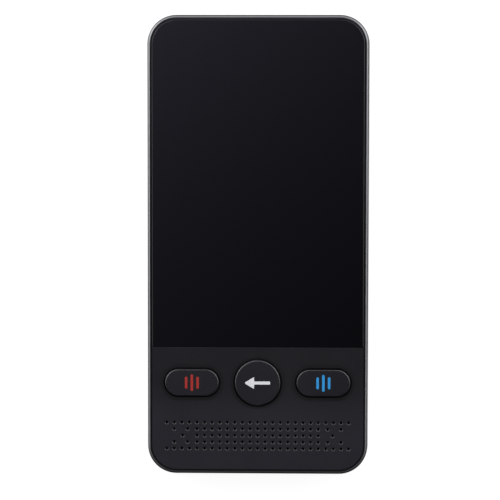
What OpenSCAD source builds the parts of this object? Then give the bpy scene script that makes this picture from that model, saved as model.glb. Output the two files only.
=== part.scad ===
// Handheld translator: a slim slab that is held upright in one hand. A glass
// screen fills the upper part of the front, and three keys and a speaker
// grille the lower part. It lies on its back: +Z points out of the screen,
// +Y to the top end and +X to the user's right. The origin is the middle of
// the back face. Sizes are in millimetres.

/* [Body] */
// Width across the sides
body_w = 61; // [60:0.5:66]
// Length from end to end
body_l = 126.5; // [125:0.5:134]
// Height of the rim above the back
body_t = 12.5; // [12.3:0.1:14]
// Corner radius seen from the front
corner_r = 8.1; // [7.5:0.1:10]
// Radius of the gentle bulge of the sides
crown_r = 70; // [50:5:200]
// Rounding of the outer edge of the rim
rim_round = 0.2; // [0.15:0.05:0.3]
// Fall of the top of the rim towards its outer edge
rim_fall = 0.15; // [0.1:0.05:0.2]
// Rounding of the edge of the back
back_round = 3; // [2:0.1:3.2]
// Height of the seam between the back cover and the frame
seam_z = 3.2; // [3.1:0.1:3.3]

/* [Frame and back cover] */
// Thickness of the side walls, from the widest point
side_wall = 1.6; // [1.4:0.1:1.7]
// Thickness of the floor of the back cover
cover_t = 1.2; // [1:0.1:1.3]
// Inner rounding between the floor and the walls of the back cover
cover_inner_r = 1.8; // [1:0.1:1.9]
// Thickness of the lip that stands up inside the frame
lip_w = 0.75; // [0.6:0.05:0.8]
// Height of the lip above the seam
lip_h = 0.6; // [0.4:0.1:0.6]
// Width of the rim beside the glass
rim_w = 0.94; // [0.85:0.01:1]
// Chamfer of the inner edge of the rim
rim_chamfer = 0.08; // [0.05:0.01:0.2]
// Reach of the ledge under the glass, from the side
ledge_w = 3.6; // [3.4:0.1:3.7]
// Thickness of the ledge
ledge_t = 2; // [1.9:0.1:2.2]
// Width of the bar under the joint of the glass and the panel
bar_w = 3.2; // [3:0.1:3.6]
// Length of a snap tab
snap_l = 6; // [4:0.5:8]
// Thickness of a snap tab
snap_t = 0.9; // [0.6:0.1:1]
// Bite of a snap hook into the frame
snap_bite = 0.35; // [0.2:0.05:0.5]
// Height of the tip of a snap hook
snap_z = 4.9; // [4.7:0.1:5]
// Height of the stiffening ribs of the back cover
rib_h = 1; // [0.6:0.1:1.2]
// Thickness of the stiffening ribs
rib_t = 0.8; // [0.6:0.1:1.2]

/* [Glass and display] */
// Thickness of the cover glass
glass_t = 0.8; // [0.7:0.05:1]
// Distance of the lower edge of the glass from the bottom end
glass_from_bottom = 35.44; // [35:0.02:36]
// Depth of the glass below the rim
glass_recess = 0.15; // [0.1:0.05:0.3]
// Gap between the rim and the glass
glass_gap = 0.34; // [0.15:0.01:0.4]
// Rounding of the front edge of the glass
glass_round = 0.4; // [0.2:0.05:0.5]
// Gap between the display panel and the ledge beside it
display_side_gap = 0.4; // [0.3:0.05:1]
// Distance of the display panel from the top edge of the glass
display_from_top = 5.9; // [5.8:0.1:8]
// Thickness of the display panel
display_t = 1.85; // [1.5:0.05:1.85]

/* [Front panel] */
// Thickness of the front panel inside the ledge
panel_t = 1.5; // [1.2:0.1:1.6]
// Gap between the glass and the front panel
panel_gap = 0.15; // [0.1:0.05:0.3]
// Chamfer of the edge of the front panel
panel_chamfer = 0.15; // [0.1:0.05:0.3]
// Length of the screw bosses behind the front panel
boss_l = 3.6; // [3.4:0.1:3.8]
// Radius of the screw bosses
boss_r = 1.3; // [1.2:0.1:1.4]

/* [Front keys] */
// Distance of the keys from the bottom end
keys_from_bottom = 25.5; // [25:0.25:26]
// Distance of a pill key from the side
key_from_side = 5; // [4.6:0.05:5.2]
// Length of a pill key
pill_l = 14.8; // [14:0.1:15.2]
// Width of a pill key
pill_w = 7.4; // [7:0.1:8.4]
// Diameter of the round key
back_d = 12.5; // [11:0.1:12.6]
// Height of the keys above the panel
key_proud = 0.6; // [0.4:0.05:0.8]
// Rounding of the edge of a key
key_round = 0.3; // [0.2:0.05:0.5]
// Gap round a key
key_gap = 0.25; // [0.15:0.01:0.3]
// Chamfer of the mouth of a key hole
key_hole_chamfer = 0.2; // [0.1:0.05:0.3]
// Width of the flange that holds a key in
flange_w = 0.7; // [0.5:0.05:0.8]
// Thickness of the flange
flange_t = 0.8; // [0.6:0.05:0.9]
// Travel of a front key
key_travel = 0.5; // [0.3:0.05:0.6]
// Radius of the nib that presses the switch
nib_r = 1.4; // [1:0.1:1.6]
// Length of the stop ribs that keep the round key from turning
stop_l = 7; // [5:0.5:8]
// Thickness of the stop ribs
stop_t = 0.6; // [0.4:0.05:0.6]
// Width of the body of a key switch
tact_w = 6; // [5:0.1:6.2]
// Height of the body of a key switch
tact_h = 1; // [0.8:0.1:1.2]
// Height of the plunger of a key switch
plunger_h = 0.5; // [0.3:0.05:0.6]

/* [Grille and speaker] */
// Distance of the middle row of holes from the bottom end
grille_from_bottom = 10.75; // [10.4:0.01:11]
// Room kept free beside the grille, from the side
grille_from_side = 4.8; // [4.6:0.05:5.2]
// Distance between two holes of a row
hole_pitch = 2.09; // [2:0.01:2.12]
// Distance between two rows
row_pitch = 1.81; // [1.6:0.01:1.9]
// Radius of a grille hole
hole_r = 0.38; // [0.3:0.01:0.5]
// Width of the chamfer of a grille hole
hole_chamfer = 0.18; // [0.05:0.01:0.2]
// Depth of the chamfer of a grille hole
hole_chamfer_t = 0.1; // [0.05:0.01:0.2]
// Thickness of the mesh behind the holes
mesh_t = 0.15; // [0.1:0.01:0.2]
// Thickness of the speaker gasket
gasket_t = 0.35; // [0.2:0.05:0.4]
// Length of the speaker
speaker_l = 28; // [24:0.5:30]
// Width of the speaker
speaker_w = 12; // [11:0.25:12.25]
// Thickness of the speaker
speaker_t = 2.5; // [2:0.1:2.6]
// Width of the rim of the speaker
speaker_rim = 1.5; // [1:0.1:2]
// Thickness of the wall round the speaker
well_t = 0.7; // [0.5:0.05:0.8]

/* [Mid plate and battery] */
// Thickness of the mid plate
plate_t = 0.5; // [0.4:0.05:0.6]
// Radius of a standoff of the main board
standoff_r = 1.5; // [1.3:0.1:1.6]
// Gap between the battery and the side walls
battery_side_gap = 4.9; // [3:0.1:8]
// Gap between the battery and the main board
battery_gap = 1.2; // [1:0.1:3]
// Thickness of the battery
battery_t = 5.5; // [4:0.1:5.6]

/* [Boards] */
// Thickness of every circuit board
board_t = 0.8; // [0.6:0.05:0.8]
// Height of the rear face of the main board above the back
board_z = 5.2; // [5.1:0.1:5.4]
// Length of the main board
board_l = 46.2; // [46:0.1:47]
// Corner radius of the main board
board_corner_r = 4.8; // [4:0.1:5]
// Height of the chips
chip_h = 1.1; // [0.8:0.1:1.4]
// Height of the shield cans
can_h = 1.5; // [1.2:0.1:1.8]
// Sheet thickness of the shield cans and the card reader
sheet_t = 0.25; // [0.2:0.01:0.3]
// Height of the rear face of the USB board above the back
usb_board_z = 3.4; // [3.4:0.05:3.5]
// Length of the USB board
usb_board_l = 14.6; // [14:0.1:15]
// Thickness of a flex circuit
flex_t = 0.12; // [0.1:0.01:0.14]
// Width of a flex circuit
flex_w = 8; // [6:0.5:9]

/* [Side keys] */
// Distance of the power key from the top end
power_from_top = 39.25; // [38.5:0.25:40]
// Length of the power key
power_l = 10; // [8:0.5:10]
// Distance of the volume rocker from the top end
volume_from_top = 21.25; // [21:0.25:21.5]
// Length of the volume rocker
volume_l = 20; // [18:0.5:20]
// Height of the side keys
side_key_h = 2.4; // [2:0.1:2.6]
// Depth of the side keys below the side
side_key_sink = 0.05; // [0.02:0.01:0.15]
// Gap round a side key and the card tray
side_gap = 0.15; // [0.1:0.01:0.2]
// Width of the flange of a side key
side_flange_w = 0.6; // [0.4:0.05:0.7]
// Thickness of the flange of a side key
side_flange_t = 0.5; // [0.4:0.05:0.5]
// Travel of the power key
power_travel = 0.25; // [0.15:0.01:0.25]
// Distance of a nib of the rocker from its middle
rocker_arm = 7; // [6:0.1:7]
// Length of a side switch
switch_l = 4.6; // [4:0.1:4.8]
// Depth of a side switch
switch_w = 3; // [2.4:0.1:3.2]
// Height of a side switch
switch_h = 1.6; // [1.4:0.1:1.7]

/* [Card tray] */
// Distance of the card tray from the top end
tray_from_top = 33.25; // [32:0.25:34]
// Length of the head of the tray along the side
tray_head_l = 11.6; // [11:0.1:12]
// Height of the head of the tray
tray_head_h = 2.3; // [2:0.1:2.5]
// Width of the tray
tray_w = 10.2; // [9.8:0.1:10.4]
// Depth of the tray
tray_l = 15; // [14.5:0.1:16]
// Thickness of the tray
tray_t = 0.9; // [0.7:0.05:0.95]
// Length of the card
card_l = 12.3; // [11:0.1:12.4]
// Width of the card
card_w = 8.8; // [8:0.1:8.8]
// Radius of the pinhole of the tray
pin_r = 0.45; // [0.3:0.05:0.5]

/* [Ports] */
// Distance of the headphone jack from the side
jack_from_side = 16.5; // [15:0.25:17]
// Radius of the bore of the headphone jack
jack_bore_r = 1.8; // [1.76:0.01:1.85]
// Length of the bore of the headphone jack
jack_bore_l = 12.4; // [12:0.1:13]
// Radius of the nose of the headphone jack
jack_nose_r = 2.4; // [2.3:0.05:2.6]
// Width of the body of the headphone jack
jack_w = 6.2; // [5.6:0.1:6.4]
// Height of the body of the headphone jack
jack_h = 5; // [4.8:0.1:5.1]
// Depth that the body of the jack sinks into the main board
jack_sink = 2.1; // [1.9:0.1:2.2]
// Wall behind the bore of the jack
jack_end_t = 0.6; // [0.4:0.1:1]
// Width of the USB socket
usb_w = 8.94; // [8.9:0.01:9]
// Height of the USB socket
usb_h = 3.26; // [3.2:0.01:3.3]
// Depth of the USB socket
usb_l = 7.3; // [6.8:0.1:7.5]
// Wall of the USB socket
usb_wall = 0.3; // [0.2:0.01:0.35]
// Distance of a microphone from the side
mic_from_side = 17; // [16:0.25:18]
// Radius of a microphone hole
mic_hole_r = 0.45; // [0.3:0.05:0.5]

/* [Camera] */
// Distance of the camera from the top end
camera_from_top = 12.75; // [12.5:0.25:13.5]
// Distance of the camera from the side
camera_from_side = 12; // [12:0.25:13.5]
// Distance between the camera and the flash
flash_pitch = 9; // [8.5:0.25:9.5]
// Width of the camera window
window_w = 9; // [8.8:0.1:9.4]
// Thickness of the camera window
window_t = 0.8; // [0.6:0.05:0.9]
// Depth of the camera window below the back
window_sink = 0.05; // [0.03:0.01:0.1]
// Thickness of the pad that carries the camera window
pad_t = 0.7; // [0.6:0.1:0.8]
// Width of the camera module
camera_w = 8.4; // [7:0.1:8.4]
// Radius of the camera barrel
barrel_r = 3; // [2.5:0.1:3.1]
// Radius of the flash light guide
guide_r = 1.3; // [1:0.1:1.4]

/* [Small parts] */
// Radius of a screw
screw_r = 0.6; // [0.5:0.05:0.6]
// Radius of the head of a screw
screw_head_r = 1; // [0.9:0.05:1]
// Height of the head of a screw
screw_head_h = 0.5; // [0.4:0.05:0.6]
// Distance of the vibration motor from the side
motor_from_side = 11; // [10:0.25:12]
// Radius of the vibration motor
motor_r = 4; // [3.5:0.1:4]
// Height of the vibration motor
motor_h = 2.7; // [2.5:0.1:3]
// Distance of the antenna from the sides
antenna_from_side = 10.5; // [9:0.5:14]
// Length of the antenna
antenna_l = 3.6; // [3:0.1:3.8]

/* [Hidden] */
$fn = 64;

// How far a cut runs past the face that it opens, or a shape into the one it joins
past = 0.5;
// Running clearance between pieces that are laid together
fit = 0.1;
// Clearance of a screw in its hole
screw_fit = 0.05;
// Gap between a flange and the wall that stops it
stop_gap = 0.05;
// Points along the bulge of a side, and along a rounded edge
crown_steps = 6;
round_steps = 6;

// Heights of the front, from the top down
half_w = body_w / 2;
half_l = body_l / 2;
straight_w = half_w - corner_r;
straight_l = half_l - corner_r;
mid_z = body_t / 2;
glass_top_z = body_t - glass_recess;
ledge_top_z = glass_top_z - glass_t;
ledge_low_z = ledge_top_z - ledge_t;
plate_low_z = ledge_low_z - plate_t;
panel_low_z = glass_top_z - panel_t;
// Heights of the back cover, from the bottom up
lip_top_z = seam_z + lip_h;
pocket_low_z = lip_top_z + fit;

// Outline of the glass and the panel
edge_inset = rim_w + glass_gap;
glass_low_y = glass_from_bottom - half_l;
panel_top_y = glass_low_y - panel_gap;
inner_inset = ledge_w + 2 * fit;
bar_y = glass_low_y - bar_w / 4;
bar_low_y = bar_y - bar_w / 2;
bar_top_y = bar_y + bar_w / 2;

// The display fills the window between the ledges and the two bars
display_gap = 0.25;
display_w = body_w - 2 * (ledge_w + display_side_gap);
display_low_y = bar_top_y + display_gap;
display_top_y = half_l - edge_inset - display_from_top;
display_l = display_top_y - display_low_y;
display_y = (display_top_y + display_low_y) / 2;
top_bar_y = display_top_y + display_gap;
top_bar_inset = 6;

// Places of the keys and the grille
key_x = half_w - key_from_side - pill_l / 2;
key_y = keys_from_bottom - half_l;
grille_y = grille_from_bottom - half_l;
flange_top_z = panel_low_z - stop_gap;
flange_low_z = flange_top_z - flange_t;
key_top_z = glass_top_z + key_proud;
key_board_top_z = panel_low_z - boss_l;
switch_top_z = key_board_top_z + tact_h + plunger_h;
nib_low_z = switch_top_z + key_travel + stop_gap;
plunger_r = 1.7;
back_flat_y = back_d / 2 + key_gap;
stop_y = back_flat_y + fit + stop_t / 2;
boss_gap = 0.8;

// Grille: full rows outside, and inner rows whose ends are spread
middle_column = floor((half_w - grille_from_side) / hole_pitch);
end_columns = 4;
spread_ends = [1, 2.75];
lone_end = 2.1;
full_row = [-middle_column:middle_column];
field_row = [for (c = [end_columns - middle_column:middle_column - end_columns]) c];
function both_ends(row) = [for (c = row, side = [-1, 1]) side * (middle_column - c)];
rows = [full_row,
        concat(field_row, both_ends(spread_ends)),
        concat(field_row, both_ends([lone_end])),
        concat(field_row, both_ends(spread_ends)),
        full_row];

// Heights of the speaker
mesh_low_z = panel_low_z - mesh_t;
gasket_low_z = mesh_low_z - gasket_t;
speaker_low_z = gasket_low_z - speaker_t;
well_h = speaker_t / 2;
mesh_margin = 1;
cone_depth = 0.6;
dome_r = 2.5;

// Boards
board_top_z = board_z + board_t;
board_side_gap = 1.7;
board_end_gap = 1.45;
usb_board_end_gap = 0.45;
key_board_margin = 1.3;
board_w = body_w - 2 * (side_wall + board_side_gap);
board_top_y = half_l - side_wall - board_end_gap;
board_y = board_top_y - board_l / 2;
board_low_y = board_top_y - board_l;
usb_board_top_z = usb_board_z + board_t;
usb_board_w = board_w - board_side_gap;
usb_board_low_y = side_wall + usb_board_end_gap - half_l;
usb_board_top_y = usb_board_low_y + usb_board_l;
usb_board_y = usb_board_low_y + usb_board_l / 2;
usb_corner_r = 4;
key_board_w = board_w - 2 * screw_fit;
key_board_z = key_board_top_z - board_t;
key_board_l = back_d + 2 * key_board_margin;
key_board_corner_r = 1;

// The battery fills the room between the main board and the bar
battery_w = body_w - 2 * (side_wall + battery_side_gap);
battery_top_y = board_low_y - battery_gap;
battery_low_y = bar_top_y + battery_gap;
battery_l = battery_top_y - battery_low_y;
battery_y = (battery_top_y + battery_low_y) / 2;
battery_low_z = plate_low_z - battery_t;
battery_corner_r = 2;
fold_l = 1.5;
fold_drop = 1;

// Side keys, card tray and their switches
side_z = board_top_z + switch_h / 2;
power_y = half_l - power_from_top;
volume_y = half_l - volume_from_top;
tray_y = half_l - tray_from_top;
side_nib_reach = 0.95;
nib_tip_d = side_wall + side_nib_reach;
plunger_tip_d = nib_tip_d + power_travel + stop_gap;
side_plunger_l = 0.5;
side_nib_w = 1.6;
rocker_gap = 0.4;
switches_y = [power_y, volume_y - rocker_arm, volume_y + rocker_arm];
tray_rise = 0.15;
reader_h = 1.5;
reader_side_gap = 0.25;
reader_setback = 1.5;
reader_front_d = side_wall + reader_setback;
tray_edge = 0.6;
pin_inset = 1;

// Ports
jack_x = half_w - jack_from_side;
jack_z = board_top_z - jack_sink + jack_h / 2;
jack_mouth_d = 0.2;
jack_body_d = side_wall + 2 * fit;
jack_back_d = jack_mouth_d + jack_bore_l + jack_end_t;
usb_z = usb_board_top_z + usb_h / 2;
usb_mouth_d = 0.2;
usb_gap = 0.12;
usb_back = 1.2;
tongue_w = 6.7;
tongue_h = 0.7;
tongue_l = 4.6;
mic_w = 3.5;
mic_l = 2.65;
mic_h = 1.1;
mic_x = half_w - mic_from_side;
mic_d = side_wall + usb_board_end_gap + fit;
mic_z = usb_board_top_z + mic_h / 2;

// Camera
camera_x = camera_from_side - half_w;
camera_y = half_l - camera_from_top;
flash_x = camera_x + flash_pitch;
window_x = camera_x + flash_pitch / 2;
window_end = 1;
window_l = flash_pitch + window_w + 2 * window_end;
window_top_z = window_sink + window_t;
pad_top_z = cover_t + pad_t;
pad_margin = 1.2;
lens_hole_gap = 0.4;
lens_hole_r = barrel_r + lens_hole_gap;
guide_hole_r = guide_r + fit;
guide_flange_w = 0.7;
guide_flange_r = guide_r + guide_flange_w;
guide_flange_t = 0.5;
led_w = 2.6;
led_h = 0.8;
barrel_gap = 0.2;
camera_pad_gap = 0.15;

// Screws
pilot_r = screw_r + screw_fit;
pass_r = screw_r + 3 * screw_fit;
pilot_l = 1.4;
boss_pilot_l = 2.4;
screw_inset = side_wall + screw_head_r + fit;
bar_screw_x = 12;
top_screw_x = 6;
low_screw_rise = 5;
mid_screw_drop = 6;
top_screw_inset = 9;
side_screws_y = [bar_top_y + low_screw_rise, board_low_y - mid_screw_drop, half_l - top_screw_inset];
plate_spots = concat(
    [for (side = [-1, 1], y = side_screws_y) [side * (half_w - screw_inset), y]],
    [for (side = [-1, 1]) [side * bar_screw_x, bar_y]],
    [for (side = [-1, 1]) [side * top_screw_x, top_bar_y + bar_w / 2]]);
board_screw_side = 5.7;
board_screw_end = 3;
board_spots = [for (side = [-1, 1], y = [board_low_y + board_screw_end, board_top_y - board_screw_end])
    [side * (board_w / 2 - board_screw_side), y]];
key_spots = concat(
    [for (side = [-1, 1], up = [-1, 1])
        [side * (key_x + pill_l / 2 - boss_r), key_y + up * (pill_w / 2 + boss_r + boss_gap)]],
    [for (side = [-1, 1]) [side * (back_d / 2 + key_x - pill_l / 2) / 2, key_y - back_d / 2]]);
usb_screw_side = 3;
usb_screw_inset = 2.4;
usb_screw_rise = 3.8;
usb_spots = concat(
    [for (side = [-1, 1]) [side * (usb_board_w / 2 - usb_screw_side), usb_board_top_y - usb_screw_inset]],
    [for (side = [-1, 1]) [side * (usb_w / 2 + 2 * usb_screw_inset), usb_board_low_y + usb_screw_rise]]);
cover_boss_r = 1.8;
end_snap_inset = 13;
middle_snap_y = 16;
snaps_y = [end_snap_inset - half_l, -middle_snap_y, middle_snap_y, half_l - end_snap_inset];

// Flex circuits and their connectors
connector_h = 0.8;
connector_l = 3;
flex_x = -4;
flex_low_z = (cover_t + rib_h + battery_low_z - flex_t) / 2;
flex_overhang = 0.6;
flex_slope = 2.4;
key_flex_from_side = 15.5;
key_flex_x = half_w - key_flex_from_side;
key_flex_w = 5;
key_flex_end = 2;
fold_gap = 0.4;
slot_w = 1.6;
slot_margin = 1;
display_flex_rise = 7;
display_flex_l = 6;
display_flex_y = board_low_y + display_flex_rise;

// Small parts
motor_x = motor_from_side - half_w;
motor_y = usb_board_y;
antenna_w = body_w - 2 * antenna_from_side;
antenna_y = half_l - side_wall - cover_inner_r - antenna_l / 2;
antenna_t = 0.2;
spring_w = 1.6;
spring_l = 3;
spring_x = [-0.4 * antenna_w, 0.1 * antenna_w];

// ---------------------------------------------------------------- sections

// Points of an arc, from angle a0 to angle a1
function arc(x, z, r, a0, a1) =
    [for (i = [0:round_steps]) let (a = a0 + (a1 - a0) * i / round_steps) [x + r * cos(a), z + r * sin(a)]];

// Distance of the bulging side from its widest point, at a height
function crown_d(z) = crown_r - sqrt(crown_r * crown_r - (z - mid_z) * (z - mid_z));

// Points of the bulging side from one height to another, without the last
function crown(z0, z1) =
    [for (i = [0:crown_steps - 1]) let (z = z0 + (z1 - z0) * i / crown_steps) [crown_d(z), z]];

// The rounded edges touch the bulge where its radius leans by these angles
rim_edge_z = body_t - rim_fall - rim_round;
rim_lean = asin((rim_edge_z - mid_z) / (crown_r - rim_round));
rim_slope = atan(rim_fall / (rim_w - rim_chamfer - rim_round));
back_lean = asin((mid_z - back_round) / (crown_r - back_round));

// Section of the frame: distance in from the side, and height
frame_section = concat(
    crown(seam_z, rim_edge_z + rim_round * sin(rim_lean)),
    arc(crown_r - (crown_r - rim_round) * cos(rim_lean), rim_edge_z, rim_round,
        180 - rim_lean, 90 + rim_slope),
    [[rim_w - rim_chamfer, body_t],
     [rim_w, body_t - rim_chamfer],
     [rim_w, ledge_top_z],
     [ledge_w, ledge_top_z],
     [ledge_w, ledge_low_z],
     [side_wall, ledge_low_z],
     [side_wall, pocket_low_z],
     [side_wall - lip_w - fit, pocket_low_z],
     [side_wall - lip_w - fit, seam_z]]);

// Section of the back cover
cover_section = concat(
    crown(seam_z, back_round - back_round * sin(back_lean)),
    arc(crown_r - (crown_r - back_round) * cos(back_lean), back_round, back_round, 180 + back_lean, 270),
    [[corner_r, 0],
     [corner_r, cover_t]],
    arc(side_wall + cover_inner_r, cover_t + cover_inner_r, cover_inner_r, 270, 180),
    [[side_wall, lip_top_z],
     [side_wall - lip_w, lip_top_z],
     [side_wall - lip_w, seam_z]]);

// Section of a snap tab with its hook
snap_section = [
    [side_wall, cover_t],
    [side_wall, lip_top_z],
    [side_wall + stop_gap, lip_top_z],
    [side_wall + stop_gap, snap_z - 2 * snap_bite],
    [side_wall - snap_bite, snap_z - 2 * snap_bite],
    [side_wall - snap_bite, snap_z - 1.5 * snap_bite],
    [side_wall + stop_gap, snap_z],
    [side_wall + stop_gap + snap_t, snap_z],
    [side_wall + stop_gap + snap_t, cover_t]];

// ------------------------------------------------------------ shared shapes

// A section run straight along one side
module run(half_span, length, section) {
    translate([0, length / 2, 0]) rotate([90, 0, 0]) linear_extrude(length)
        polygon([for (p = section) [half_span - p[0], p[1]]]);
}

// A section turned round one corner
module turn(section) {
    rotate_extrude(angle = 90) polygon([for (p = section) [corner_r - p[0], p[1]]]);
}

// A section swept round the whole outline
module swept(section) {
    for (half = [0, 180]) rotate(half) {
        run(half_w, 2 * straight_l, section);
        translate([straight_w, straight_l, 0]) turn(section);
        rotate(90) {
            run(half_l, 2 * straight_w, section);
            translate([straight_l, straight_w, 0]) turn(section);
        }
    }
}

// A section swept round the outline, with the middle filled between two heights
module filled(section, low_z, top_z) {
    swept(concat(section, [[corner_r, top_z], [corner_r, low_z]]));
    translate([0, 0, low_z]) linear_extrude(top_z - low_z)
        square([2 * (straight_w + past), 2 * (straight_l + past)], center = true);
}

// A rectangle with round corners
module rounded(w, l, r) {
    square([w - 2 * r, l], center = true);
    square([w, l - 2 * r], center = true);
    for (x = [-1, 1], y = [-1, 1])
        translate([x * (w / 2 - r), y * (l / 2 - r)]) circle(r);
}

// A rectangle with half-round ends
module pill(l, w) {
    if (l > w) square([l - w, w], center = true);
    for (end = [-1, 1]) translate([end * (l - w) / 2, 0]) circle(w / 2);
}

// A flat shape lifted to stand between two heights
module between(low_z, top_z) {
    translate([0, 0, low_z]) linear_extrude(top_z - low_z) children();
}

// Everything below, or above, a line across the body
module side_of(y, way) {
    translate([0, y + way * half_l, mid_z]) cube([2 * body_w, 2 * half_l, 3 * body_t], center = true);
}

// A half-round-ended solid whose section is turned at its ends
module capsule(l, w, section) {
    straight = l - w;
    mirrored = concat(section, [for (i = [len(section) - 1:-1:0]) [-section[i][0], section[i][1]]]);
    if (straight > 0) {
        for (end = [-90, 90]) rotate(end) translate([0, -straight / 2, 0]) rotate(180)
            rotate_extrude(angle = 180) polygon(section);
        rotate([90, 0, 90]) translate([0, 0, -straight / 2]) linear_extrude(straight) polygon(mirrored);
    } else {
        rotate_extrude() polygon(section);
    }
}

// Children drawn flat are stood on a wall, with their own +Z pointing out
module on_right(y, z) { translate([half_w, y, z]) rotate([90, 0, 90]) children(); }
module on_left(y, z) { translate([-half_w, y, z]) rotate([90, 0, -90]) children(); }
module on_top(x, z) { translate([x, half_l, z]) rotate([90, 0, 180]) children(); }
module on_bottom(x, z) { translate([x, -half_l, z]) rotate([90, 0, 0]) children(); }

// A flat shape cut through a wall from outside
module through_wall() { between(-side_wall - past, past) children(); }

// A flat shape between two depths below the outside of a wall
module sunk(outer_d, inner_d) { between(-inner_d, -outer_d) children(); }

// One shape at each spot of a list
module at(spots) { for (p = spots) translate([p[0], p[1], 0]) children(); }

// A screw that rises from the face at height z, with its head below that face
module screw(z, length) {
    translate([0, 0, z - screw_head_h]) cylinder(r = screw_head_r, h = screw_head_h);
    translate([0, 0, z]) cylinder(r = screw_r, h = length);
}

// ------------------------------------------------------------------ housing

module frame() color([0.33, 0.34, 0.36]) difference() {
    union() {
        swept(frame_section);
        translate([0, bar_y]) between(ledge_low_z, ledge_top_z)
            square([body_w - 2 * side_wall, bar_w], center = true);
        translate([0, (top_bar_y + half_l - side_wall) / 2]) between(ledge_low_z, ledge_top_z)
            square([body_w - 2 * top_bar_inset, half_l - side_wall - top_bar_y], center = true);
    }
    at(plate_spots) between(ledge_low_z - past, ledge_low_z + pilot_l) circle(pilot_r);
    on_right(power_y, side_z) through_wall() pill(power_l + 2 * side_gap, side_key_h + 2 * side_gap);
    on_right(volume_y, side_z) through_wall() pill(volume_l + 2 * side_gap, side_key_h + 2 * side_gap);
    on_left(tray_y, side_z) through_wall() pill(tray_head_l + 2 * side_gap, tray_head_h + 2 * side_gap);
    on_top(jack_x, jack_z) through_wall() circle(jack_nose_r + stop_gap);
    on_bottom(0, usb_z) through_wall() pill(usb_w + 2 * usb_gap, usb_h + 2 * usb_gap);
    for (x = [-mic_x, mic_x]) on_bottom(x, mic_z) through_wall() circle(mic_hole_r);
    for (side = [0, 180], y = snaps_y) rotate(side) translate([0, y, 0])
        run(half_w, snap_l + 4 * fit, [
            [side_wall + past, snap_z - 2 * snap_bite - fit],
            [side_wall - snap_bite - fit, snap_z - 2 * snap_bite - fit],
            [side_wall - snap_bite - fit, snap_z + fit],
            [side_wall + past, snap_z + fit]]);
}

module back_cover() color([0.13, 0.13, 0.14]) difference() {
    union() {
        swept(cover_section);
        between(0, cover_t) square([2 * (straight_w + past), 2 * (straight_l + past)], center = true);
        translate([window_x, camera_y]) between(cover_t / 2, pad_top_z)
            pill(window_l + 2 * pad_margin, window_w + 2 * pad_margin);
        at(usb_spots) between(cover_t / 2, usb_board_z) circle(cover_boss_r);
        cover_ribs();
        for (side = [0, 180], y = snaps_y) rotate(side) translate([0, y, 0])
            run(half_w, snap_l, snap_section);
    }
    translate([window_x, camera_y]) between(-past, window_top_z)
        pill(window_l + 2 * stop_gap, window_w + 2 * stop_gap);
    translate([camera_x, camera_y]) between(0, pad_top_z + past) circle(lens_hole_r);
    translate([flash_x, camera_y]) between(0, pad_top_z + past) circle(guide_hole_r);
    at(usb_spots) between(usb_board_z - pilot_l, usb_board_z + past) circle(pilot_r);
}

// Ribs along and across the floor of the back cover, under the battery
module cover_ribs() {
    for (x = [-1:1]) translate([x * battery_w / 3, battery_y]) between(cover_t / 2, cover_t + rib_h)
        square([rib_t, battery_l], center = true);
    for (y = [-1:1]) translate([0, battery_y + y * battery_l / 2]) between(cover_t / 2, cover_t + rib_h)
        square([battery_w, rib_t], center = true);
}

module cover_glass() color([0.03, 0.03, 0.035]) intersection() {
    filled(concat([[edge_inset, ledge_top_z]],
                  arc(edge_inset + glass_round, glass_top_z - glass_round, glass_round, 180, 90)),
           ledge_top_z, glass_top_z);
    side_of(glass_low_y, 1);
}

module front_panel() color([0.15, 0.15, 0.16]) difference() {
    union() {
        intersection() {
            filled([[edge_inset, ledge_top_z],
                    [edge_inset, glass_top_z - panel_chamfer],
                    [edge_inset + panel_chamfer, glass_top_z]], ledge_top_z, glass_top_z);
            side_of(panel_top_y, -1);
        }
        intersection() {
            between(panel_low_z, ledge_top_z + past)
                rounded(body_w - 2 * inner_inset, body_l - 2 * inner_inset, corner_r - inner_inset);
            side_of(bar_low_y - 2 * fit, -1);
        }
        at(key_spots) between(key_board_top_z, panel_low_z + past) circle(boss_r);
        for (side = [-1, 1]) translate([0, key_y + side * stop_y]) between(flange_low_z, panel_low_z + past)
            square([stop_l, stop_t], center = true);
        translate([0, grille_y]) between(gasket_low_z - well_h, panel_low_z + past) difference() {
            pill(speaker_l + 2 * well_t + 2 * fit, speaker_w + 2 * well_t + 2 * fit);
            pill(speaker_l + 2 * fit, speaker_w + 2 * fit);
        }
    }
    edge_cut();
    for (x = [-key_x, key_x]) key_hole(x, pill_l, pill_w, flange_low_z);
    key_hole(0, back_d, back_d, panel_low_z - past);
    grille_holes();
    translate([0, grille_y]) between(mesh_low_z, panel_low_z) mesh_outline();
    at(key_spots) between(key_board_top_z - past, key_board_top_z + boss_pilot_l) circle(pilot_r);
}

// The hole of one key from a height up, with the chamfer of its mouth
module key_hole(x, l, w, low_z) {
    r = w / 2 + key_gap;
    translate([x, key_y, 0]) capsule(l + 2 * key_gap, w + 2 * key_gap, [
        [0, low_z],
        [r, low_z],
        [r, glass_top_z - key_hole_chamfer],
        [r + 2 * key_hole_chamfer, glass_top_z + key_hole_chamfer],
        [0, glass_top_z + key_hole_chamfer]]);
}

// Chamfer of the straight edge of the panel, beside the glass
module edge_cut() {
    rotate([90, 0, 90]) translate([panel_top_y, glass_top_z, -half_w]) linear_extrude(body_w)
        polygon([[-panel_chamfer, past], [-panel_chamfer, 0], [0, -panel_chamfer], [past, -panel_chamfer], [past, past]]);
}

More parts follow.
